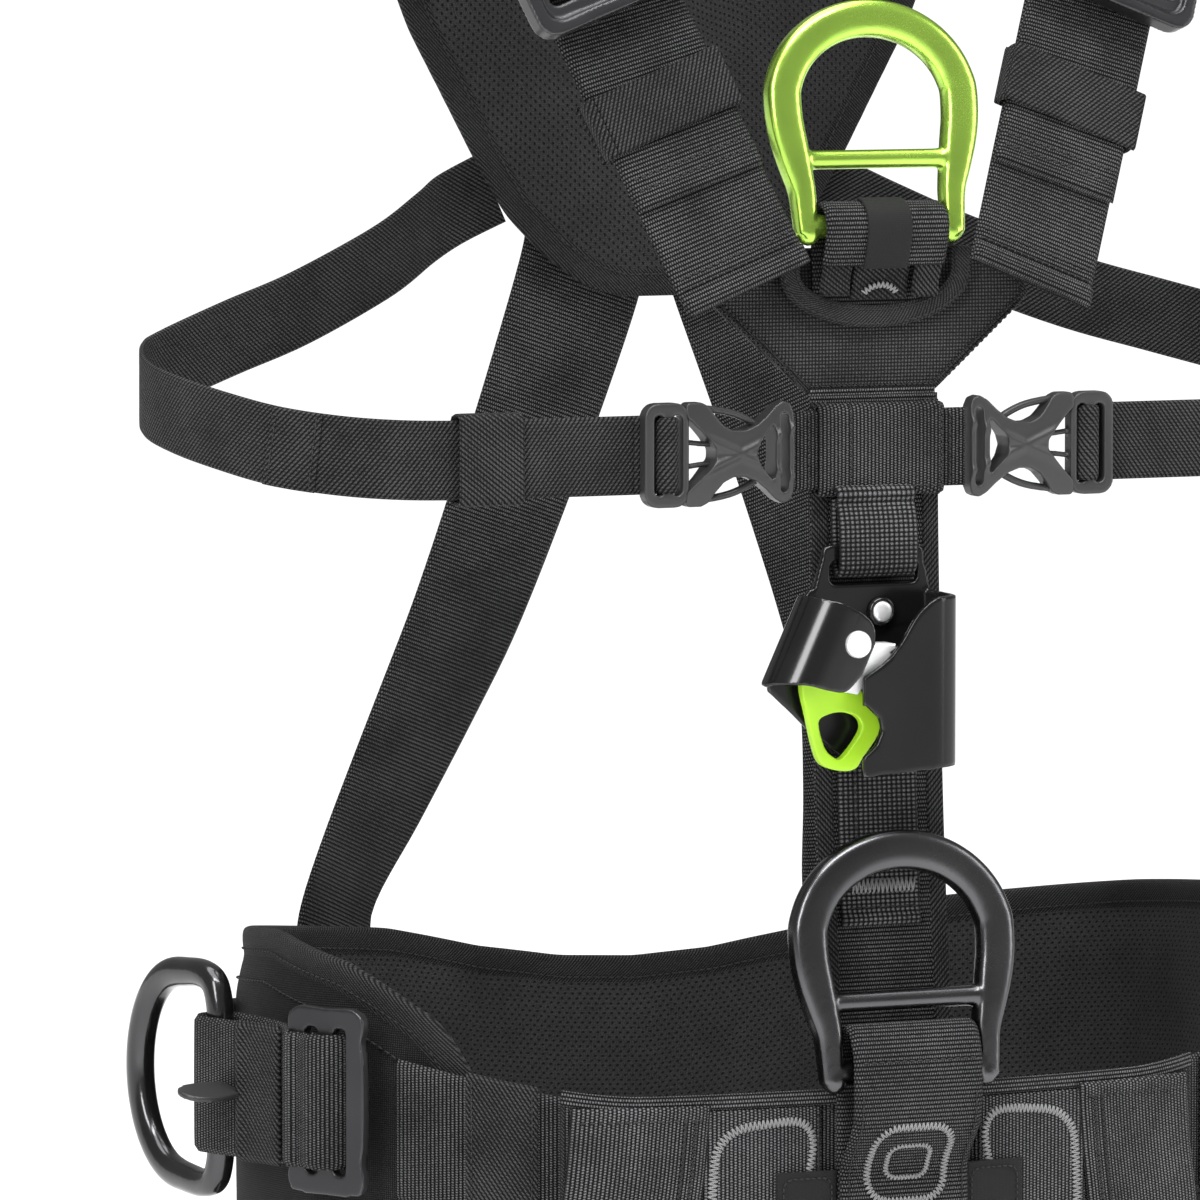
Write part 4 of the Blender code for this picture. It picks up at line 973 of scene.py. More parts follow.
# ---------------------------------------------------------------- chest
def build_chest_plate():
    outline = [(249.6, 22.4), (280, 57.0), (292, 50.0), (296, 30.0)]
    z = np.concatenate([np.linspace(249.6, 280, 14), np.linspace(281, 296, 12)])
    half = np.interp(z, [o[0] for o in outline], [o[1] for o in outline])
    points = np.array([[(f * h, -87.6 + 0.03 * (k - 250), k) for f in np.linspace(-1, 1, 15)]
                       for k, h in zip(z, half)])
    strip = Strip(points, np.tile((0, -1.0, 0.03), (len(z), 15, 1)))
    pad("chest_plate_cover", strip, 5.0, ("ballistic", "shell"), nodes="chest_plate", edge=2.6, rim=1.5,
        step=2.4, columns=34, cap=0.7)
    seam(strip, 2.2, 1.75, pitch=1.9)
    for s in (-1, 1):
        line = [(a, s * (b - 1.2)) for a, b in zip(strip.s[2:14:2], strip.width[2:14:2] / 2)]
        satin(strip, line, 1.0, 1.1, 1.7, "black")
    # hem along the bottom edge and the half-round tape that frames the ring's loop
    hem = Strip.along([(x, -89.6, 249.9) for x in (-22, 0, 22)], (0, 0, 1), 3.0, (0, -1, 0))
    band("chest_plate_hem", hem, 1.3, "webbing_light", off=-0.4, step=1.2)
    bow = [(-30 * math.cos(a), 288.0 - 14.0 * math.sin(a)) for a in np.linspace(0.35, math.pi - 0.35, 9)]
    u = [(-30.0, 296.0), (-30.0, 288.0)] + bow + [(30, 288), (30, 296)]
    radial = [unit((x, 0, min(zz - 288.0, 0) * 2.2)) for x, zz in u]
    frame_tape = Strip.along([(x, -90.9, zz) for x, zz in u], radial, 7.2, (0, -1, 0))
    band("chest_frame_tape", frame_tape, 1.6, "binding", off=0.0, step=1.4, ripple=0.25)
    THREAD["black"].sew(frame_tape, dashes(on_line(2, -2.2, frame_tape.length - 2, -2.2), 2.2), 1.7)
    THREAD["black"].sew(frame_tape, dashes(on_line(2, 2.4, frame_tape.length - 2, 2.4), 2.2), 1.7)


def build_sternal_loop():
    """The ring's loop, the tape across its foot with a bar-tack, and a plain tag."""
    b = STERNAL_BAR
    wrap = around(b[1], b[2], 6.9, 6.9, (185, 140, 90, 40, -5))
    path = [(-94.7, 276), (-95.2, 284), (-99.6, 295)] + wrap + [(-89.6, 296), (-90.4, 288), (-90.6, 276)]
    loop = Strip.along([(0, y, z) for y, z in path], (1, 0, 0), WEB - 2, (0, -1, 0))
    band("sternal_loop_webbing", loop, 2.0, "webbing", s=(15.0, loop.length), off=-1.0, roll=(0.5, 0.0),
         nodes="sternal_loop", step=1.4)
    rows_across(loop, (17.2,), 19, 1.1)
    crown = loop.s[np.argmax(loop.p[:, 2, 2])]
    band("sternal_tag", loop, 0.8, "label", s=(14.6, crown + 1.0), x=(-7.8, 7.8), off=1.25,
         step=1.2)
    # sunk below it: the tape's foot with a bar-tack, between two folded ends
    band("sternal_foot", loop, 1.6, "elastic", s=(3.5, 16.0), x=(-9.5, 10.5), off=-2.4,
         step=1.2, ripple=0.4)
    for i, (x0, x1) in enumerate(((-20.5, -10.5), (11.5, 20.8))):
        band(f"sternal_foot_end_{i}", loop, 2.2, "chevron" if i else "elastic", s=(5.0 - i, 16.0), x=(x0, x1),
             off=-1.6, roll=(0.6, 0.2), step=1.0, ripple=0.4)
    arch = [(5.6, -5.5), (7.4, -3.0), (8.2, 0.5), (7.6, 3.6), (5.8, 6.0)]
    satin(loop, catmull(arch, 4), 2.2, 0.7, 0.01)


def build_chest_middle():
    """The tape between the clips, and the sleeve that holds it on the front strap."""
    centre = [(x, CHEST_Y, CHEST_Z) for x in (-30.4, -15, 15, 30.4)]
    centre = Strip.along(centre, UP, CHEST_WEB, (0, -1, 0))
    band("chest_middle_tape", centre, CHEST_T, "webbing", off=-CHEST_T / 2, nodes="chest_centre_strap",
         step=1.6)
    rows_across(centre, (5.5, centre.length - 5.5), 11, CHEST_T / 2 + 0.1, pitch=2.0)
    ring = [(2.2, 0), (2.2, 11), (1.2, 13.9), (-1.2, 13.9), (-2.2, 12.5), (-2.4, 6), (-2.4, -6),
            (-2.2, -12.5), (-1.2, -13.9), (1.2, -13.9), (2.2, -11), (2.2, -0.6)]
    ring = [(0, CHEST_Y + u, CHEST_Z + v) for u, v in ring]
    sleeve = Strip.along(ring, (1, 0, 0), 44.0, (0, 1, 0))
    band("chest_sleeve_webbing", sleeve, 1.1, "webbing_turned", off=-0.3, nodes="chest_sleeve",
         step=1.2)
    front_a, front_b = sleeve.length * 0.3, sleeve.length * 0.72
    rows_along(sleeve, (-11.0, 20.5), front_a - 2, front_b + 2, 0.95, pitch=2.2)
    rows_across(sleeve, (front_b - 1.5,), 19, 0.95, pitch=2.2)


def build_chest_side(s, side):
    place = lambda u, v, w: np.array([s * (31.0 + u), CHEST_Y + w, CHEST_Z + v])
    start = np.array([s * 71.0, CHEST_Y + 2.2 + GAP + CHEST_T / 2, CHEST_Z])
    run = np.array([float(s), 0, 0])
    chest_female(s, side, place)
    chest_male(side, place)
    chest_tail(s, side, start, run)
    chest_long_strap(s, side, start, run)


def chest_female(s, side, place):
    """An X with a slotted bar at the strap end."""
    upper = [(0.0, 12.6), (1.0, 15.4), (3.4, 16.4), (6.2, 14.8), (9.5, 11.6), (13.0, 8.9), (17.0, 7.4),
             (21.0, 7.4), (24.4, 9.0), (27.0, 12.0), (29.2, 15.2), (31.6, 16.5), (36.2, 16.5), (37.2, 15.2),
             (36.8, 11.8), (33.0, 8.2), (29.6, 4.8), (27.4, 1.6)]
    outline = upper + [(u, -v) for u, v in reversed(upper)]
    notch = [(6.6, 9.6), (9.6, 6.4), (12.4, 3.2), (13.0, 0), (12.4, -3.2), (9.6, -6.4), (6.6, -9.6)]
    slot = rounded(2.6, 25.4, 1.2, 3.2, 0, 3)
    shape = extrude(outline, [notch, slot], place, -4.6, 4.6)
    obj = new_object(f"chest_female_body_{side}", *shape, "buckle_plastic")
    fuse(obj, 0.55, 5)
    crown_plastic(obj, s)
    settle(obj, "harness", f"chest_female_{side}")


def chest_male(side, place):
    """A ladder frame and two bowed prongs, each with a thin one inside it."""
    slots = [rounded(3.6, 25.4, 1.6, 40.0, 0, 3), rounded(3.4, 25.4, 1.6, 46.2, 0, 3)]
    parts = [extrude(rounded(15.2, 33.0, 4.6, 43.6, 0, 6), slots, place, -2.9, 2.3)]
    outer = [(38.0, 13.6), (33.0, 14.4), (27.0, 14.0), (20.0, 12.6), (14.0, 10.0), (10.4, 7.4)]
    inner = [(37.0, 4.0), (30.0, 3.2), (24.0, 3.0)]
    for up in (-1, 1):
        parts.append(sweep(catmull(outer, 6) * (1, up), 2.4, 3.0, place, 2.4, 12))
        parts.append(sweep(catmull(inner, 4) * (1, up), 1.8, 2.4, place, 2.2, 10))
    obj = new_object(f"chest_male_body_{side}", *merged(parts), "buckle_plastic")
    fuse(obj, 0.5, 3)
    settle(obj, f"chest_male_{side}", f"chest_male_{side}")


def chest_tail(s, side, start, run):
    """The strap end that slides with the clip, and its turn round the ladder's bar."""
    body = f"chest_male_{side}"
    tail = Strip.along([start + run * d for d in (0, 12, 40, 66)], UP, CHEST_WEB, (0, -1, 0))
    band(f"chest_tail_tape_{side}", tail, CHEST_T, "elastic", off=-CHEST_T / 2, nodes=f"chest_tail_{side}",
         body=body)
    turn = [(71.4, start[1]), (70.6, -93.4), (71.0, -96.4), (73.4, -98.3), (76.2, -97.2), (77.3, -94.0),
            (78.0, -92.3), (84.0, -92.9)]
    turn = [(s * a, b, CHEST_Z) for a, b in turn]
    wrap = Strip.along(turn, UP, CHEST_WEB - 1, (-s, 0, 0))
    band(f"chest_turn_tape_{side}", wrap, 1.3, "elastic", off=-0.65, body=body, step=1.2)


def chest_long_strap(s, side, start, run):
    """The tape round the side of the chest to the back plate, doubled once, with a keeper at its end."""
    lap = CHEST_T + GAP
    inward = np.array([0, 1.0, 0])
    path = [start + run * 52 + inward * lap, start + run * 74 + inward * lap]
    path += mirrored(s, [
        (163.5, -86.4, 232.6), (180, -78, 234), (195, -65, 236.6), (206, -46, 240.6), (212.4, -24, 244.4),
        (213.5, -2, 248), (208, 15, 252.5), (195.7, 28, 255.6), (167.8, 42, 263.8), (139.5, 52.5, 272.3),
        (105, 66, 286), (84, 78.5, 296.5), (73, 83.6, 302.2), (58, 84.2, 309)])
    wd = []
    for i in range(len(path)):
        t = unit(path[min(i + 1, len(path) - 1)] - path[max(i - 1, 0)])
        wd.append(unit(UP - t * (UP @ t)))
    strip = Strip.along(path, wd, CHEST_WEB, (0, -1, 0))
    band(f"chest_long_tape_{side}", strip, CHEST_T, "elastic", off=-CHEST_T / 2, nodes=f"chest_strap_{side}")
    # doubled stretch with two sewn rows at the side of the chest
    side_s = strip.s[np.argmin(np.abs(strip.p[:len(strip.p) // 2, 2, 0] * s - 190.0))]
    band(f"chest_doubling_{side}", strip, 0.9, "elastic", s=(side_s - 8.0, side_s + 9.0),
         off=CHEST_T / 2 + 0.1, step=1.4)
    rows_across(strip, (side_s - 6.2, side_s + 7.2), 11, CHEST_T / 2 + 1.05, pitch=1.7)
    mid = start + run * 62 + inward * lap / 2
    loop = [(3.4, 0), (3.4, 11.5), (2.4, 13.6), (-2.4, 13.8), (-3.7, 11.5), (-3.9, 0), (-3.7, -11.5),
            (-2.4, -13.8), (2.4, -13.6), (3.4, -11.5), (3.4, -0.6)]
    keeper = Strip.along([mid + np.array([0, a, b]) for a, b in loop], run, 22.0, (0, 1, 0))
    band(f"chest_keeper_tape_{side}", keeper, 1.2, "elastic", off=-0.5, nodes=f"chest_keeper_{side}",
         step=1.4)


def crown_plastic(obj, s):
    """Thin the buckle towards its upper and lower edges, and sink its waist, so that its face is domed."""
    for vert in obj.data.vertices:
        u, v = vert.co.x / MM * s - 31.0, vert.co.z / MM - CHEST_Z
        flatter = 0.95 - 0.4 * min(abs(v) / 16.5, 1.0) ** 2
        ridge = 0.24 * math.exp(-((abs(v) - 0.42 * abs(u - 19)) / 1.6) ** 2)
        vert.co.y = (CHEST_Y + (vert.co.y / MM - CHEST_Y) * (flatter + ridge)) * MM


# ---------------------------------------------------------------- swept and cut metal
def sweep(route, width, thick, place, power=2.6, sides=24):
    """A bar along a line in a plate's plane, with a rounded section. Returns verts and faces."""
    route = np.asarray(route, float)
    n = len(route)
    width = np.ones(n) * width
    thick = np.ones(n) * thick
    d = unit(np.gradient(route, axis=0))
    side = np.stack([d[:, 1], -d[:, 0]], 1)
    g = np.linspace(0, 2 * math.pi, sides, endpoint=False)
    a = np.sign(np.cos(g)) * np.abs(np.cos(g)) ** (2 / power)
    b = np.sign(np.sin(g)) * np.abs(np.sin(g)) ** (2 / power)
    verts = []
    for i in range(n):
        uv = route[i] + side[i] * (width[i] / 2 * a)[:, None]
        verts += [place(p[0], p[1], w) for p, w in zip(uv, thick[i] / 2 * b)]
    faces = []
    for i in range(n - 1):
        for j in range(sides):
            k = (j + 1) % sides
            faces.append((i * sides + j, i * sides + k, (i + 1) * sides + k, (i + 1) * sides + j))
    faces += [tuple(reversed(range(sides))), tuple((n - 1) * sides + j for j in range(sides))]
    return np.array(verts), faces


def extrude(outline, holes, place, low, high):
    """A flat shape with holes, between two heights."""
    from mathutils.geometry import tessellate_polygon
    loops = [list(outline)] + [list(h) for h in holes]
    flat = [p for loop in loops for p in loop]
    tris = tessellate_polygon([[Vector((p[0], p[1], 0)) for p in loop] for loop in loops])
    verts = [place(u, v, low) for u, v in flat] + [place(u, v, high) for u, v in flat]
    count = len(flat)
    ccw = lambda t: np.cross(np.subtract(flat[t[1]], flat[t[0]]), np.subtract(flat[t[2]], flat[t[0]])) > 0
    tris = [t if ccw(t) else t[::-1] for t in tris]
    faces = [tuple(reversed(t)) for t in tris] + [tuple(i + count for i in t) for t in tris]
    at = 0
    for index, loop in enumerate(loops):
        area = sum(p[0] * q[1] - q[0] * p[1] for p, q in zip(loop, loop[1:] + loop[:1]))
        for j in range(len(loop)):
            a, b = at + j, at + (j + 1) % len(loop)
            wall = (a, b, b + count, a + count)
            faces.append(wall if (area > 0) == (index == 0) else wall[::-1])
        at += len(loop)
    return np.array(verts), faces


def ball(centre, r, rings=8, sides=14):
    """A sphere to be fused into a bar's foot."""
    verts, faces = [], []
    for i in range(rings + 1):
        for j in range(sides):
            a, b = math.pi * i / rings, 2 * math.pi * j / sides
            out = (math.sin(a) * math.cos(b), math.sin(a) * math.sin(b), math.cos(a))
            verts.append(np.asarray(centre) + r * np.array(out))
    for i in range(rings):
        for j in range(sides):
            k = (j + 1) % sides
            faces.append((i * sides + j, (i + 1) * sides + j, (i + 1) * sides + k, i * sides + k))
    return np.array(verts), faces


def turned(centre, axis, profile, sides=48):
    """A turned piece from (distance along the axis, radius) pairs."""
    axis = unit(axis)
    a = unit(np.cross(axis, (0.3, 0.2, 0.9)))
    b = np.cross(axis, a)
    g = np.linspace(0, 2 * math.pi, sides, endpoint=False)
    ring = np.outer(np.cos(g), a) + np.outer(np.sin(g), b)
    verts = np.concatenate([np.asarray(centre) + axis * t + r * ring for t, r in profile])
    faces = []
    for i in range(len(profile) - 1):
        for j in range(sides):
            k = (j + 1) % sides
            faces.append((i * sides + j, i * sides + k, (i + 1) * sides + k, (i + 1) * sides + j))
    return verts, faces


def build_d_ring(name, bar, lean, scale, mat):
    """Forged D-ring: S-shaped legs with lobed feet, a broad crown and a crossbar with soft roots."""
    half = [(27.2, -3.0), (27.4, 3.0), (27.8, 12.0), (29.5, 20.0), (31.2, 28.0), (32.5, 36.0)]
    half += arc(0, 41, 33, 29.0, 8, 90, 9)
    wide = [7.6, 8.0, 8.9, 10.6, 12.1, 12.5] + list(np.linspace(12.5, 12.8, 10))
    deep = [7.6, 8.0, 8.6] + [9.0] * 13
    full = half + [(-u, v) for u, v in reversed(half[:-1])]
    wide = wide + wide[-2::-1]
    deep = deep + deep[-2::-1]
    route = catmull(full, 6)
    width, thick = catmull(wide, 6), catmull(deep, 6)
    c, s = math.cos(math.radians(lean)), math.sin(math.radians(lean))

    def place(u, v, w):
        u, v, w = u * scale, v * scale, w * scale
        return np.array((bar[0] + u, bar[1] + v * s + w * c, bar[2] + v * c - w * s))

    parts = [sweep(route, width, thick, place, 3.2, 32)]
    for side in (-1, 1):
        parts.append(ball(place(side * 26.4, -2.2, 0), 4.3 * scale))
        parts.append(turned(place(side * 22.0, -0.5, 0), (side, 0, 0), [(0, 0.01), (0, 3.4 * scale),
                     (4 * scale, 3.4 * scale), (4 * scale, 0.01)], 20))
    reach = 31.0 * scale
    xs = np.linspace(-reach, reach, 41)
    root = np.exp(-np.clip(27.2 * scale - np.abs(xs), 0, None) / (1.5 * scale))
    profile = [(xs[0] + reach, 0.01)] + [(x + reach, (3.25 + 1.2 * r) * scale) for x, r in zip(xs, root)]
    profile += [(xs[-1] + reach, 0.01)]
    parts.append(turned(place(0, 22.4, 0) - np.array((reach, 0, 0)), (1, 0, 0), profile, 28))
    lower = [(0, 0.01), (0, 4.0 * scale), (50 * scale, 4.0 * scale), (50 * scale, 0.01)]
    parts.append(turned(place(-25, 0, 0), (1, 0, 0), lower, 24))
    obj = new_object(f"{name}_forging", *merged(parts), mat)
    fuse(obj, 0.62, 6)
    settle(obj, name, name)


def build_side_ring(s, side):
    bar = np.array((s * SIDE_BAR[0], SIDE_BAR[1], SIDE_BAR[2]))
    a = math.radians(SIDE_ANGLE)
    d = np.array((s * math.cos(a), math.sin(a), 0))
    n = np.cross(d, UP)
    half = [(0.0, 0.0), (0.0, 14.0), (0.2, 24.0), (3.4, 31.6), (11.0, 34.0), (22.0, 33.4)]
    half += arc(24, 0, 26.5, 33, 82, 0, 8)
    wide = [8.2, 8.2, 8.4, 8.8, 9.2, 9.6] + [10.0] * 9
    full = half + [(u, -v) for u, v in reversed(half[1:-1])]
    wide = wide + wide[-2:0:-1]
    route, width = catmull(full, 7, True), catmull(wide, 7, True)
    route, width = np.vstack([route, route[:2]]), np.concatenate([width, width[:2]])
    verts, faces = sweep(route, width, 8.6, lambda u, v, w: bar + d * u + UP * v + n * w, 2.3, 28)
    obj = new_object(f"side_ring_{side}_forging", verts, faces, "gloss_alloy")
    fuse(obj, 0.62, 5)
    settle(obj, f"side_ring_{side}", f"side_ring_{side}")


# ---------------------------------------------------------------- ascender
def build_clamp():
    clamp_frame()
    clamp_guard()
    clamp_studs()
    carry("clamp_cam", "bare_steel", 0.35)
    clamp_trigger()
    clamp_loop()


def clamp_frame():
    path = [(-40.5, -98.6), (-33.8, -98.6), (-27.2, -98.6), (-22, -98.6), (-8, -98.6), (12, -98.6),
            (15.6, -100.8), (18.4, -106.0), (17.6, -112.4), (13, -116.2), (8.6, -117.4), (2.5, -117.6),
            (-3, -117.4), (-8.4, -117.2), (-15.6, -116.8)]
    lows = [156.4, 150.4, 144.2, 139.5, 131.5, 130.6, 130.8, 131.2, 131.6, 131.6, 131.4, 131, 130.6, 130.2,
            129.6]
    highs = [159.4, 173, 187, 188.2, 188, 187.2, 186.8, 186.4, 186.2, 186.2, 185.6, 180.5, 172, 166.2, 161.5]
    shell = bent_sheet(path, lows, highs, 2.4)
    eye = [(-22.2, 178), (15, 178), (15.2, 190), (13.6, 196), (10.5, 201.8), (-17, 202.4), (-22, 198)]
    slot = rounded(30.4, 7.4, 2.0, -3.9, 193.2, 5)
    at_back = lambda u, v, w: np.array((u, -98.6 + w, v))
    top = extrude(catmull_outline(eye, 4), [slot], at_back, -1.4, 1.4)
    at = (TRIGGER_AXIS[0], -98.4, TRIGGER_AXIS[2])
    stub = turned(at, OUTWARD, [(0, 0.01), (0, 2.2), (7.2, 2.2), (7.7, 1.6), (7.7, 0.01)], 24)
    obj = new_object("clamp_frame_forging", *merged([shell, top, stub]), "frame_steel")
    fuse(obj, 0.5, 2)
    notch = [(-23, 153.2), (-14.6, 152.4), (-10.2, 148.2), (-9.4, 144.3), (-11.4, 139.6), (-16.2, 135.5),
             (-23, 134)]
    shape = extrude(notch, [], lambda u, v, w: np.array((u, -117 + w, v)), -4, 4)
    cut(obj, new_object("cut_notch", *shape, "frame_steel"))
    fuse(obj, 0.5, 3, 0.6)
    settle(obj, "ascender", "clamp_frame")


def clamp_guard():
    """The folded cover over the cam, turned with it about the cam's axis."""
    a = math.radians(25)
    c = CAM_AXIS
    fold = [(-6, -101.3), (-13.5, -101.3), (-16.8, -102.6), (-18.0, -106.2), (-17.0, -110.8), (-13.4, -115.2),
            (-9, -117.6), (-2, -118.5), (3, -118.6), (5.8, -118.5)]
    low = [-10, -17, -21.4, -23.4, -22, -20, -18.3, -17, -15, -8]
    high = [7.6, 7.8, 7.8, 7.7, 8.4, 9.2, 10, 9.6, 7.6, 2.4]
    verts, faces = bent_sheet(fold, low, high, 1.8)
    tilted = verts.copy()
    tilted[:, 0] = c[0] + verts[:, 0] * math.cos(a) + verts[:, 2] * math.sin(a)
    tilted[:, 2] = c[2] - verts[:, 0] * math.sin(a) + verts[:, 2] * math.cos(a)
    obj = new_object("clamp_guard_shell", tilted, faces, "guard_steel")
    fuse(obj, 0.45, 3, 0.6)
    settle(obj, "ascender", "clamp_guard")


def clamp_studs():
    """The cam's pin and the frame's rivet, each with the dark ring round its head."""
    pin_at = (CAM_AXIS[0], -100.1, CAM_AXIS[2])
    rivet_at = (-1.7, -100.3, 180.6)
    pin = [(9.0, 0.01), (9.0, 3.0), (17.0, 3.0), (18.6, 3.2), (18.9, 4.0), (19.6, 4.35), (20.6, 4.25),
           (21.3, 3.7), (21.7, 2.7), (21.85, 1.4), (21.9, 0.01)]
    rivet = [(-0.4, 0.01), (-0.4, 3.3), (1.2, 3.3), (1.6, 3.15), (1.85, 2.7), (2.0, 1.6), (2.05, 0.01)]
    collar = [(-0.3, 3.35), (1.3, 3.4), (1.55, 3.8), (1.35, 4.3), (0.6, 4.7), (-0.3, 4.8)]
    washer = [(17.3, 3.1), (17.6, 4.1), (18.2, 5.0), (17.9, 5.7), (17.0, 5.9), (16.4, 5.2)]
    for name, at, profile, mat, node, slot in (
            ("clamp_pin_head", pin_at, catmull(pin, 4), "bare_steel", "clamp_pin", "bare_steel"),
            ("clamp_rivet_head", rivet_at, rivet, "bare_steel", "clamp_rivet", "bare_steel"),
            ("clamp_rivet_collar", rivet_at, collar + collar[:1], "guard_steel", (), "frame_steel"),
            ("clamp_pin_washer", pin_at, washer + washer[:1], "guard_steel", (), "frame_steel")):
        settle(new_object(name, *turned(at, OUTWARD, profile), mat), "ascender", node)


def clamp_trigger():
    outline = [(-9.9, -2.8), (-7.9, -12), (-5.2, -23.1), (-2.5, -28.1), (3.6, -30.2), (8.9, -29.8),
               (11.6, -26.3), (17.7, -16.7), (12.2, -6.7), (8, -1), (3.5, 4.0), (-3.5, 4.0), (-7.5, 1.5)]
    hole = [(-3.9, -14.6), (-1.2, -12.3), (4.2, -11.5), (9.6, -13.3), (11.2, -16.4), (9.6, -20.1),
            (4.2, -26.2), (0.6, -25.2), (-2.0, -22.0)]
    place = lambda u, v, w: TRIGGER_AXIS + np.array((u, w, v))
    shape = extrude(catmull_outline(outline, 4), [catmull_outline(hole, 4), arc(0, 0, 2.5, 2.5, 0, 345, 23)],
                    place, -1.75, 1.75)
    obj = new_object("clamp_trigger_body", *shape, "green_plastic")
    fuse(obj, 0.34, 4, 0.6)
    settle(obj, "trigger", "clamp_trigger")


def clamp_loop():
    x = -3.2
    loop = [(-98.6, 216.4), (-101.2, 209), (-101.8, 199), (-101.3, 194.4), (-98.6, 192.4), (-96.2, 194.4),
            (-95.7, 199), (-95.1, 209), (-94.9, 216.4)]
    strip = Strip.along([(x, y, z) for y, z in loop], (1, 0, 0), LOOP_WEB, (0, -1, 0))
    band("clamp_loop_tape", strip, LOOP_T, "coarse", off=-LOOP_T / 2, nodes="clamp_loop",
         step=1.2)
    # the folded tape that holds the loop against the chest strap
    fold = [(-97.4, 214), (-99.8, 217.4), (-98.8, 219.6), (-95.4, 219.8), (-92.6, 218.4)]
    fold = Strip.along([(x, y, z) for y, z in fold], (1, 0, 0), LOOP_WEB, (0, -1, 0.4))
    band("clamp_loop_fold", fold, 1.8, "coarse", off=-0.9, step=1.0)


def catmull_outline(points, steps):
    return [tuple(p) for p in catmull(points, steps, True)]


def bent_sheet(path, lows, highs, thick, steps=7, columns=26):
    """A plate that follows a path seen from above, between its own low and high edges."""
    path = catmull(path, steps)
    low, high = catmull(lows, steps), catmull(highs, steps)
    t = unit(np.gradient(path, axis=0))
    n = np.stack([t[:, 1], -t[:, 0], np.zeros(len(t))], 1)
    z = low[:, None] + (high - low)[:, None] * np.linspace(0, 1, columns)
    p = np.repeat(np.column_stack([path, np.zeros(len(path))])[:, None], columns, 1)
    p[..., 2] = z
    n = np.repeat(n[:, None], columns, 1)
    rows = len(path)
    verts = np.concatenate([(p - n * thick / 2).reshape(-1, 3), (p + n * thick / 2).reshape(-1, 3)])
    grid = np.arange(rows * columns).reshape(rows, columns)
    quads = np.stack([grid[:-1, :-1], grid[1:, :-1], grid[1:, 1:], grid[:-1, 1:]], -1).reshape(-1, 4)
    count = rows * columns
    rim = np.concatenate([grid[0], grid[1:, -1], grid[-1, -2::-1], grid[-2:0:-1, 0]])
    wall = [(a, b, b + count, a + count) for a, b in zip(rim, np.roll(rim, -1))]
    return verts, quads.tolist() + (quads[:, ::-1] + count).tolist() + wall


def cut(obj, cutter):
    work = bmesh.new()
    work.from_mesh(cutter.data)
    bmesh.ops.recalc_face_normals(work, faces=work.faces)
    work.to_mesh(cutter.data)
    work.free()
    mod = obj.modifiers.new("cut", "BOOLEAN")
    mod.operation = "DIFFERENCE"
    mod.solver = "EXACT"
    mod.object = cutter
    bake(obj)
    bpy.data.objects.remove(cutter)


def carry(node, mat, bevel=0.0):
    """A CAD node whose shape is right stays, with soft edges and a finished material."""
    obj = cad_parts[node]
    obj.data.materials.clear()
    obj.data.materials.append(MAT[mat])
    if bevel:
        mod = obj.modifiers.new("edges", "BEVEL")
        mod.width = bevel * MM
        mod.segments = 2
        mod.limit_method = "ANGLE"
        mod.angle_limit = math.radians(28)
        mod.harden_normals = False


# ---------------------------------------------------------------- hips
def build_side(s, side):
    build_side_ring(s, side)
    z = SIDE_BAR[2]
    path = [belt(s * p, GAP + WEB_T / 2) + UP * band_z(p) for p in (76, 81, 86)]
    turn = around(SIDE_BAR[0], SIDE_BAR[1], 7.4, 7.4, (175, 135, 95, 50, 5, -35))
    turn += [(188.6, -14), (183.2, -26), (178.6, -36), (176.6, -41)]
    path += mirrored(s, [(x, y, z) for x, y in turn])
    strip = Strip.along(path, UP, WEB - 1, (-s, 0, 0))
    band(f"side_loop_webbing_{side}", strip, WEB_T, "webbing", off=-WEB_T / 2, nodes=f"side_loop_{side}",
         step=1.6)
    end = strip.length
    lift = WEB_T / 2 + 0.1
    rows_across(strip, (end - 3.0,), 20, lift, zig=1.6)
    band(f"side_loop_keeper_{side}", strip, 1.7, "elastic", s=(end - 27.0, end - 7.5), x=(-22.6, 22.6),
         off=WEB_T / 2, roll=(1.3, 0.5), step=1.4)
    root = strip.place(end - 30.0, 0.0, WEB_T / 2 + 1.0)
    out = unit(strip.place(end - 30.0, 0.0, 5.0) - root)
    cross = np.cross(UP, out)
    lug = [(-3.0, 4.2), (5.0, 6.4), (13.0, 6.8), (19.0, 4.4), (21.0, 0.0), (19.0, -4.4), (13.0, -6.8),
           (5.0, -6.4), (-3.0, -4.2)]
    place = lambda u, v, w: root + out * u + cross * v + UP * (w - 0.22 * v)
    obj = new_object(f"side_lug_{side}", *extrude(catmull_outline(lug, 4), [], place, -0.9, 0.9),
                     "buckle_plastic")
    fuse(obj, 0.45, 4, 0.6)
    settle(obj)


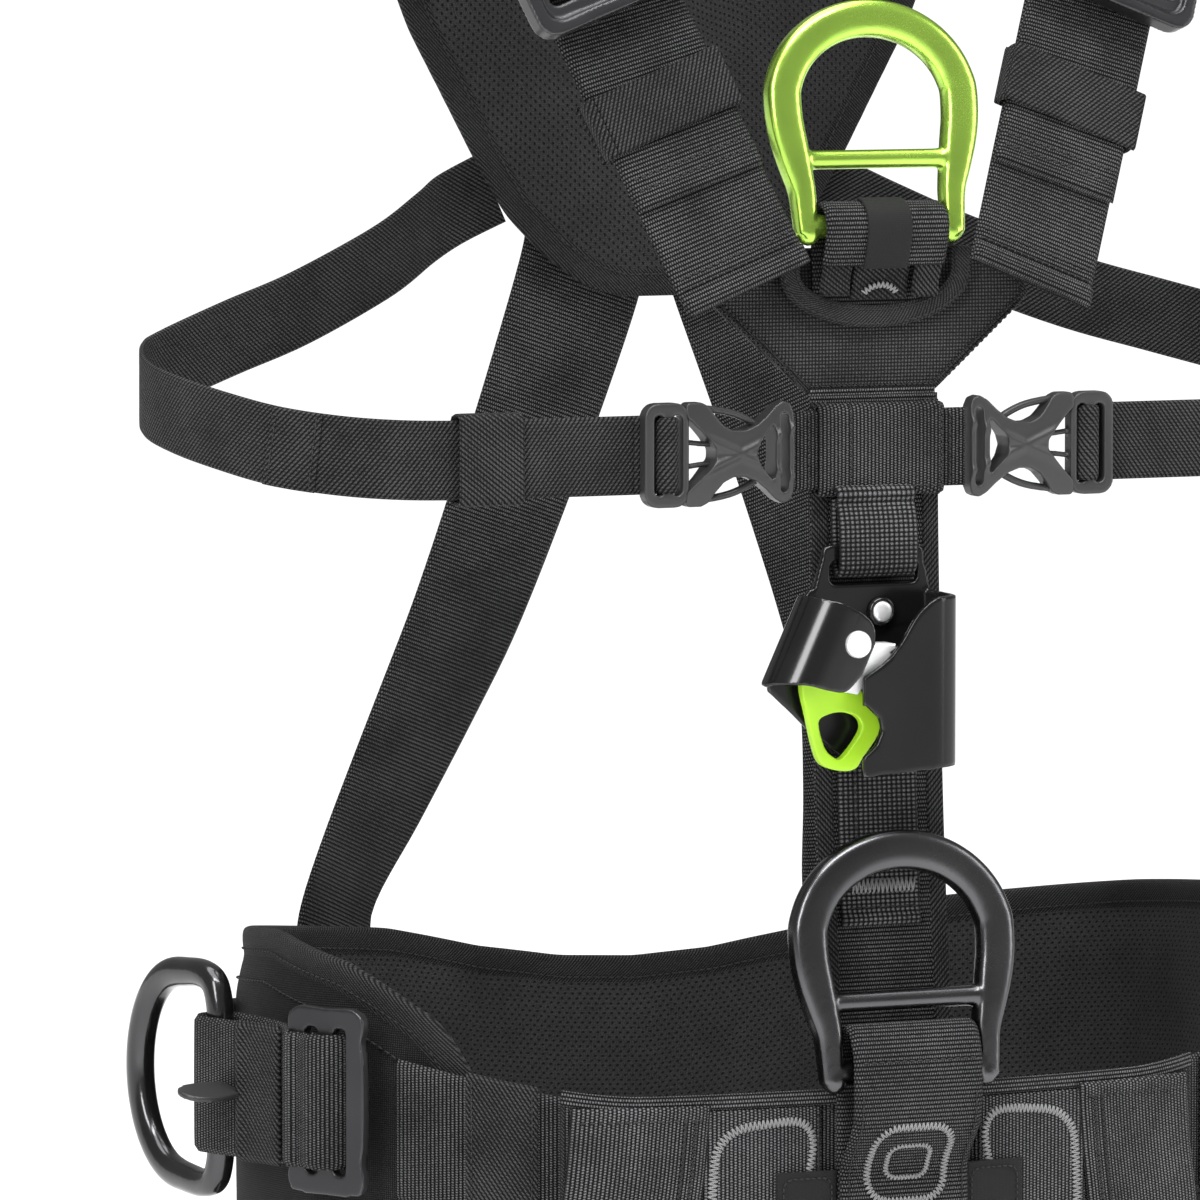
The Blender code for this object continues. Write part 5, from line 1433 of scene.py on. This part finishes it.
def build_side_adjuster(s, side):
    phi = s * 72.5
    p, n = belt_out(np.array(phi))
    back = np.cross(UP, n) * s
    centre = p + n * 13.0 + UP * 28
    place = lambda u, v, w: centre + back * u + UP * v + n * w
    obj = new_object(f"side_adjuster_body_{side}", *adjuster_shape(30, 60, 5.2, 47.0, 5.6, 3.6, place, 1.0),
                     "buckle_metal")
    fuse(obj, 0.5, 4, 0.6)
    settle(obj, f"side_adjuster_{side}", f"side_adjuster_{side}")
    # the strap: rolled over the rear and middle bars, then down through the front slot
    rear = [(27.0, -9.6), (22.5, -7.0), (18.6, -2.8), (15.6, 1.6), (13.2, 3.4)]
    rear = Strip.along([place(u, 0, w) for u, w in rear], UP, 44.0, n)
    band(f"side_adjuster_lead_{side}", rear, 2.2, "webbing", off=-1.1, step=1.4)
    rows_across(rear, (rear.length * 0.42,), 20, 1.2, zig=1.4)
    over = [(13.6, 2.7), (11.6, 3.9), (9.4, 2.9), (7.0, 3.4), (4.0, 5.2), (0.4, 4.9), (-2.8, 3.4),
            (-5.2, 0.2), (-6.0, -4.4)]
    over = Strip.along([place(u, 0, w) for u, w in over], UP, 43.0, n)
    band(f"side_adjuster_strap_{side}", over, 2.2, "webbing", off=-1.1,
         body=f"side_adjuster_{side}", step=1.2)


def adjuster_shape(w, h, slot_w, slot_h, slot_at, thick, place, waist):
    """Two-slot frame with a wavy outer edge and small hooks at its corners."""
    x, y = w / 2, h / 2
    side = [(x - 3.5, y - 0.6), (x - 0.8, y - 2.4), (x, y - 6.0), (x - waist, y - 11.0), (x - 0.2, y - 17.0),
            (x, 0.0)]
    right = side + [(u, -v) for u, v in reversed(side[:-1])]
    top = [(-x + 6.5, y), (0.0, y - 0.5), (x - 6.5, y)]
    ring = right + [(-u, -v) for u, v in top[::-1]]
    ring += [(-u, -v) for u, v in right] + top
    holes = [rounded(slot_w, slot_h, 2.3, u, 0, 5) for u in (-slot_at, slot_at)]
    return extrude(catmull_outline(ring, 3), holes, place, -thick / 2, thick / 2)


# ---------------------------------------------------------------- shoulders
def build_shoulder(s, side):
    """The front strap with its keeper, then the buckle, the padded yoke and the strap behind."""
    low, top = np.array((s * 49.0, -104.0, 284.0)), np.array((s * 82.0, -77.0, 368.0))
    run = unit(top - low)
    w0, w1 = np.array((s * -0.927, 0, 0.376)), np.array((s * -0.964, 0, 0.265))
    path = [lerp(low, top, i / 6) for i in range(7)] + [top + run * 22]
    wd = [lerp(w0, w1, i / 6) for i in range(7)] + [w1]
    strip = Strip.along(path, wd, WEB, (0, -1, 0))
    band(f"shoulder_base_{side}", strip, 2.2, "webbing", off=-2.3, nodes=f"shoulder_strap_{side}", step=1.8)
    band(f"shoulder_hem_{side}", strip, 1.7, "webbing", s=(0.2, 6.6), off=-0.4, roll=(0.9, 0.2), step=1.2)
    rows_across(strip, (8.4, 11.8), 20.5, 0.05, pitch=2.5)
    band(f"shoulder_upper_{side}", strip, 2.1, "webbing", s=(35.5, strip.length), off=0.05, roll=(1.0, 0.0),
         step=1.8)
    rows_across(strip, (41.5, 45.5), 20.5, 2.2, pitch=2.5)
    mid = lerp(low, top, 0.69)
    w = lerp(w0, w1, 0.5)
    w = unit(w - run * (w @ run))
    out = np.cross(w, run)
    ring = rounded(WEB + 3.0, 7.4, 2.6, steps=3)
    turn = [i for i, (u, v) in enumerate(ring) if v > 3.2 and u < 0][0]
    path = [mid + w * u + out * v for u, v in ring[turn:] + ring[:turn + 1]]
    outer = out if out @ (path[0] - mid) > 0 else -out
    keeper = Strip.along(path, run, 20.0, outer, steps=3)
    band(f"shoulder_keeper_tape_{side}", keeper, 1.4, "elastic", off=-0.7, nodes=f"shoulder_keeper_{side}",
         step=1.6)

    w = unit(w1 - run * (w1 @ run))
    out = np.cross(w, run)
    out = -out if out[1] > 0 else out
    centre = top + run * 21 + out * 9.8
    place = lambda u, v, q: centre + w * u + run * v + out * q
    build_shoulder_buckle(side, place)
    build_shoulder_pad(s, side)
    # webbing that comes up through the buckle and is sewn over the pad
    path = [top + run * 18 + out * 2.0, top + run * 28 + out * 3.0]
    path += mirrored(s, [(94.2, -69.5, 402), (97.2, -61, 427), (98.8, -43.4, 455.6), (97.6, -16.6, 474.2),
                         (93.4, 14.6, 478.4), (87, 45, 467.6), (80, 66.6, 447)])
    over = Strip.along(path, [w, w] + tipped(s, YOKE_TIPS[:7]), 43.0, (0, -1, 0))
    band(f"shoulder_cover_{side}", over, 2.0, "webbing", off=-1.0)
    rows_along(over, (-19.4, 19.4), 34, over.length - 3, 1.1, pitch=3.0)
    rear_strap(s, side)


def tipped(s, angles):
    """Directions across a shoulder strap, tipped up by angles in degrees."""
    return [np.array((-s * math.cos(math.radians(t)), 0, math.sin(math.radians(t)))) for t in angles]


# how far the yoke tips at each of its points, from the front over the shoulder
YOKE_TIPS = (15, 12, 8, 4, 0, -2, -2, 0, 0)


def build_shoulder_pad(s, side):
    path = mirrored(s, [(93.5, -62.5, 399), (96.5, -54, 425), (98, -38, 451), (97, -14, 468), (93, 14, 472.5),
                        (87, 42, 462), (80, 62, 443), (72, 74, 420), (66.4, 77.6, 398.4)])
    wide = catmull([54.0, 62, 66, 66, 66, 65, 64, 62, 58], 8)
    strip = Strip.along(path, tipped(s, YOKE_TIPS), wide, (0, -1, 0.3), columns=7)
    pad(f"shoulder_padding_{side}", strip, 9.0, ("shell", "lining"), nodes=f"shoulder_pad_{side}",
        edge=7.0, rim=2.0, columns=22, cap=1.4)
    for off in (1.95, -1.95):
        seam(strip, 5.8, off)


def build_shoulder_buckle(side, place):
    """Adjustable buckle: bevelled steel frame, two slots, and a plain recessed panel with a green outline."""
    body = f"shoulder_buckle_{side}"
    holes = [rounded(47, 5.6, 2.2, 0, v, 5) for v in (-7.2, 7.2)]
    plate = extrude(rounded(62, 38, 6.5), holes, place, -3.6, 2.4)
    lip = extrude(rounded(62, 38, 6.5, steps=8), [rounded(53, 30, 5.0, steps=8)], place, 1.8, 4.0)
    obj = new_object(f"shoulder_buckle_frame_{side}", *merged([plate, lip]), "buckle_metal")
    fuse(obj, 0.6, 4, 0.7)
    settle(obj, body, f"shoulder_buckle_{side}")
    panel = extrude(rounded(50.5, 3.6, 1.6, 0, 12.9, 5), [], place, 2.2, 2.75)
    obj = new_object(f"shoulder_buckle_line_{side}", *panel, "green_line", smooth=False)
    settle(obj, body, ())


# rows of each strap from the back plate to the belt: x, y, z, turn about the vertical, slope across;
# then its two stations on the belt: angle, z, slope across. The left one hangs nearly upright at its foot.
REAR_ROWS = {
    -1: ((24.5, 82.6, 292, 0, 0.33), (26.5, 82.8, 278, 0, 0.33), (42, 86.5, 228, 7, 0.33),
         (62, 91, 171, 15, 0.33), (76.5, 94, 137, 22, 0.33), (92, 97, 103, 30, 0.33),
         (106.5, 98.6, 71, 38, 0.33)),
    1: ((24.5, 82.6, 292, 0, 0.36), (29.5, 82.9, 278, 0, 0.38), (51, 87, 228, 7, 0.38),
        (73.5, 92, 171, 16, 0.3), (84, 95.5, 137, 24, 0.22), (87.5, 99, 103, 30, 0.12),
        (88.5, 102, 71, 32, 0.05)),
}
REAR_ENDS = {-1: ((131.5, 36, 0.33), (130, -6, 0.33)), 1: ((137.5, 36, 0.05), (137.5, -6, 0.05))}


def rear_strap(s, side):
    rows = []
    for x, y, z, turn, slope in REAR_ROWS[s]:
        g = math.radians(turn)
        lean = np.array((0.94 * math.cos(g), -s * 0.94 * math.sin(g), s * slope))
        rows.append(flat_row((s * x, y, z), lean, (s * math.sin(g), math.cos(g), 0), WEB / 2))
    off = 2 * GAP + 0.4 + WEB_T
    belt_rows = [across_belt(s * phi, z, off, -slope * s, WEB / 2)[::-1] for phi, z, slope in REAR_ENDS[s]]
    rows.append(mix_rows(rows[-1], [(p + UP * 32, n) for p, n in belt_rows[0]], 0.72))
    rows[-1] = [(p + UP * -16 + n * 0.6, n) for p, n in rows[-1]]
    rows += belt_rows
    strip = Strip.rows(rows)
    band(f"rear_strap_webbing_{side}", strip, WEB_T, "webbing", nodes=f"rear_strap_{side}")
    rows_across(strip, (92.0, 96.0), 20, WEB_T + 0.05)
    rows_across(strip, (strip.length - 40, strip.length - 4), 20, WEB_T + 0.05, zig=1.6)
    for x in (-19.5, 19.5):
        rows_along(strip, (x,), strip.length - 40, strip.length - 4, WEB_T + 0.05)
        rows_along(strip, (x,), 4, 92, WEB_T + 0.05)


# ---------------------------------------------------------------- back
def build_back():
    half = [(0, 271.5), (14, 272), (28, 276), (42, 286), (56, 300), (67, 318), (80, 342), (91, 362),
            (98, 380), (101, 399)]
    z = np.concatenate([np.linspace(272.0, 300, 18), np.linspace(303, 402.0, 34)])
    wide = np.interp(z, [h[1] for h in half], [h[0] for h in half])
    columns = 27
    t = np.linspace(-1, 1, columns)
    neck = 13.5 * np.clip(1 - (np.abs(t) / 0.32) ** 2, 0, 1)
    points = []
    for k, w in zip(z, wide):
        share = smooth(k, 330, 399.5)
        points.append([(f * w, 77.0, k - dip * share) for f, dip in zip(t, neck)])
    points = np.array(points)
    strip = Strip(points, np.tile((0.0, 1.0, 0.0), (len(z), columns, 1)))
    strip.s = z - z[0]
    strip.length = strip.s[-1]
    pad("back_padding", strip, 10.0, ("shell", "lining"), nodes="back_pad", edge=9.0, rim=2.2,
        columns=40, cap=1.6)
    for off in (2.1, -2.1):
        seam(strip, 7.6, off)
    THREAD["black"].sew(strip, dashes(on_line(25, 0, strip.length - 18, 0), 2.8), -4.4)

    b = DORSAL_BAR
    loop = [(84.2, 322), (84.0, 344), (84.6, 350)] + around(b[1], b[2], 6.8, 6.8, (140, 90, 40, -10))
    loop += [(95.5, 340), (88.6, 334), (87.0, 322)]
    strip = Strip.along([(0, y, k) for y, k in loop], (1, 0, 0), WEB - 2, (0, -1, 0))
    band("dorsal_loop_webbing", strip, 2.0, "webbing", off=-1.0, nodes="dorsal_loop", step=1.4)
    rows_across(strip, (strip.length - 3.0, strip.length - 9.0), 19, -1.1, zig=1.6)
    # webbing yoke on the back of the pad, from the shoulders down to the rear straps
    for s, side in SIDES:
        path = [(s * 62, 83.4, 392), (s * 46, 83.8, 364), (s * 32, 84.4, 338), (s * 25, 84.0, 312),
                (s * 24.4, 83.8, 292)]
        wd = [(0.86, 0, s * 0.5), (0.87, 0, s * 0.48), (0.95, 0, s * 0.3), (1, 0, s * 0.1),
              (0.98, 0, s * 0.2)]
        yoke = Strip.along(path, wd, 43.0, (0, 1, 0))
        band(f"back_yoke_{side}", yoke, 2.0, "webbing", off=-1.0 + (0.35 if s > 0 else -0.25),
             step=2.4)
        rows_along(yoke, (-18.5, 18.5), 5, yoke.length - 6, 1.35 if s > 0 else 0.85, pitch=3.0)


# ---------------------------------------------------------------- legs
def leg_frame(s):
    a = math.radians(LEG_TILT)
    x = np.array((s * math.cos(a), 0, math.sin(a)))
    n = np.array((-s * math.sin(a), 0, math.cos(a)))
    return np.array((s * LEG_C[0], LEG_C[1], LEG_C[2])), x, n


def leg_point(s, theta, off):
    """The point at theta on the leg loop, off outside the inner face of its strap."""
    c, x, _ = leg_frame(s)
    t = math.radians(theta)
    return c + x * ((LEG_RX + off) * math.cos(t)) + np.array((0, 1, 0)) * ((LEG_RY + off) * math.sin(t))


def leg_out(s, theta):
    _, x, _ = leg_frame(s)
    t = math.radians(theta)
    return unit(x * (math.cos(t) / LEG_RX) + np.array((0, 1, 0)) * (math.sin(t) / LEG_RY))


def build_leg(s, side):
    build_leg_pad(s, side)
    build_leg_strap(s, side)
    build_leg_buckle(s, side)
    build_leg_rear(s, side)


def build_leg_pad(s, side):
    n = leg_frame(s)[2]
    rows = []
    for theta in np.linspace(-73, 148.5, 60):
        edge = float(min(smooth(theta, -86, -58), 1 - smooth(theta, 138, 158)))
        mid, out = leg_point(s, theta, -5), leg_out(s, theta)
        rows.append([(mid + n * (40 * edge * f), out) for f in np.linspace(-1, 1, 7)])
    strip = Strip([[p for p, _ in row] for row in rows], [[o for _, o in row] for row in rows])
    pad(f"leg_padding_{side}", strip, 10.0, ("shell", "lining"), nodes=f"leg_pad_{side}", edge=8.0,
        rim=2.2, columns=26, cap=1.5, hold=lambda a, b: np.abs(b) < 24)
    for off in (2.15, -2.15):
        seam(strip, 6.6, off)
    seam(strip, 15.0, 3.6)


def build_leg_strap(s, side):
    n = leg_frame(s)[2]
    off = GAP + 0.3
    turns = [(leg_point(s, a, off), leg_out(s, a)) for a in range(-52, 309, 6)]
    strip = Strip([[p + n * (WEB / 2 * f) for f in np.linspace(-1, 1, 5)] for p, _ in turns],
                  [[o] * 5 for _, o in turns])
    band(f"leg_strap_webbing_{side}", strip, WEB_T, "webbing", nodes=f"leg_strap_{side}")
    rows_along(strip, (-17, 17), 60, 160, WEB_T + 0.05, pitch=3.2)
    rows_across(strip, (28.0, 32.0), 20, WEB_T + 0.05)


def build_leg_buckle(s, side):
    """The buckle, and the strap laid back through it."""
    _, x, n = leg_frame(s)
    theta = -52
    out = leg_out(s, theta)
    along = np.cross(n, out)
    along = -along if along @ x < 0 else along
    centre = leg_point(s, theta, 8.6)
    place = lambda u, v, w: centre + along * u + n * v + out * w
    body = f"leg_buckle_{side}"
    obj = new_object(f"leg_buckle_body_{side}", *adjuster_shape(34, 60, 5.2, 47.0, 6.6, 4.0, place, 1.2),
                     "buckle_metal")
    fuse(obj, 0.55, 4, 0.6)
    settle(obj, body, f"leg_buckle_{side}")
    wrap = [(-9.6, -4.6), (-6.4, -0.6), (-4.0, 3.6), (0.0, 4.8), (4.0, 3.6), (6.6, -0.6), (9.6, -4.8)]
    over = Strip.along([place(u, 0, w) for u, w in wrap], n, 44.0, out)
    band(f"leg_buckle_strap_{side}", over, 2.2, "webbing", off=-1.1, body=body, step=1.4)


def build_leg_rear(s, side):
    """The narrow tape that holds the leg pad up to the back of the belt."""
    n = leg_frame(s)[2]
    top = belt(s * 152, GAP + WEB_T / 2 + 0.8)
    foot = leg_point(s, 94, 5.4)
    path = [top + UP * -22, top + UP * -56, lerp(top, foot, 0.35), lerp(top, foot, 0.75), foot + n * 24,
            foot - n * 18]
    path[2][2], path[3][2] = -92, -138
    side_on = unit(belt(s * 153, 0) - belt(s * 151, 0)) * -s
    one = np.array((1.0, 0, 0))
    wd = [side_on, side_on, lerp(side_on, one, 0.4), one, one, one]
    strip = Strip.along(path, wd, CHEST_WEB, (0, 1, 0))
    band(f"leg_rear_tape_{side}", strip, CHEST_T, "elastic", off=-CHEST_T / 2, nodes=f"leg_rear_strap_{side}")
    rows_across(strip, (4.0, 10.0), 11, CHEST_T / 2 + 0.05)
    rows_across(strip, (strip.length - 8.0, strip.length - 3.0), 11, CHEST_T / 2 + 0.05)


# ---------------------------------------------------------------- build
build_belt()
build_front_strap()
build_ventral_loop()
build_leg_risers()
build_chest_plate()
build_sternal_loop()
build_chest_middle()
for sign, tag in SIDES:
    build_chest_side(sign, tag)
build_clamp()
build_back()
for sign, tag in SIDES:
    build_side(sign, tag)
    build_side_adjuster(sign, tag)
    build_shoulder(sign, tag)
    build_leg(sign, tag)
build_d_ring("ventral_ring", VENTRAL_BAR, VENTRAL_LEAN, 1.0, "black_alloy")
build_d_ring("sternal_ring", STERNAL_BAR, STERNAL_LEAN, SMALL_RING, "green_alloy")
build_d_ring("dorsal_ring", DORSAL_BAR, DORSAL_LEAN, SMALL_RING, "black_alloy")
for thread in THREAD.values():
    thread.build()


# ---------------------------------------------------------------- camera, light and floor
CAMERA_AT = (-1.2383, -2.7204, 0.4375)
CAMERA_TARGET = (-0.0466, 0.02026, 0.1761)
LENS = 274.5
FLOOR_Z = -0.262


def build_camera():
    data = bpy.data.cameras.new("camera")
    data.lens, data.sensor_width = LENS, 36.0
    data.clip_start, data.clip_end = 0.1, 100.0
    cam = bpy.data.objects.new("camera", data)
    cam.location = CAMERA_AT
    aim = Vector(CAMERA_TARGET) - Vector(CAMERA_AT)
    cam.rotation_euler = aim.to_track_quat("-Z", "Y").to_euler()
    bpy.context.scene.collection.objects.link(cam)
    bpy.context.scene.camera = cam


def area_light(name, at, target, size, power, colour=(1, 1, 1)):
    data = bpy.data.lights.new(name, "AREA")
    data.shape, data.size, data.size_y = "RECTANGLE", size[0], size[1]
    data.energy, data.color = power, colour
    obj = bpy.data.objects.new(name, data)
    obj.location = at
    obj.rotation_euler = (Vector(target) - Vector(at)).to_track_quat("-Z", "Y").to_euler()
    bpy.context.scene.collection.objects.link(obj)


def build_stage():
    reach = 90000
    verts = [(x * reach, y * reach, FLOOR_Z / MM) for x, y in ((-1, -1), (1, -1), (1, 1), (-1, 1))]
    sh = Shader("floor", (0.93, 0.93, 0.93), 0.7, specular=0.1)
    grain = sh.object_noise(6.0, 3.0)
    sh.join(sh.ramp(grain, ((0.0, (0.925, 0.925, 0.925)), (1.0, (0.94, 0.94, 0.94)))), "Base Color")
    MAT["floor"] = sh.mat
    floor = new_object("floor", verts, [(0, 1, 2, 3)], "floor", smooth=False)
    world = bpy.data.worlds.new("studio")
    world.use_nodes = True
    world.node_tree.nodes["Background"].inputs["Color"].default_value = (1.0, 1.0, 1.0, 1)
    world.node_tree.nodes["Background"].inputs["Strength"].default_value = 0.3
    bpy.context.scene.world = world
    middle = (0, 0, 0.12)
    area_light("key", (-1.7, -1.5, 1.3), middle, (0.6, 1.5), 44)
    area_light("fill", (1.9, -1.2, 0.8), middle, (0.5, 1.6), 18)
    area_light("top", (-0.2, -1.0, 1.9), middle, (1.4, 0.35), 34)
    sun = bpy.data.lights.new("sky", "SUN")
    sun.energy, sun.angle = 2.9, 0.9
    bpy.context.scene.collection.objects.link(bpy.data.objects.new("sky", sun))


build_camera()
build_stage()
bpy.context.scene.view_settings.view_transform = "Standard"
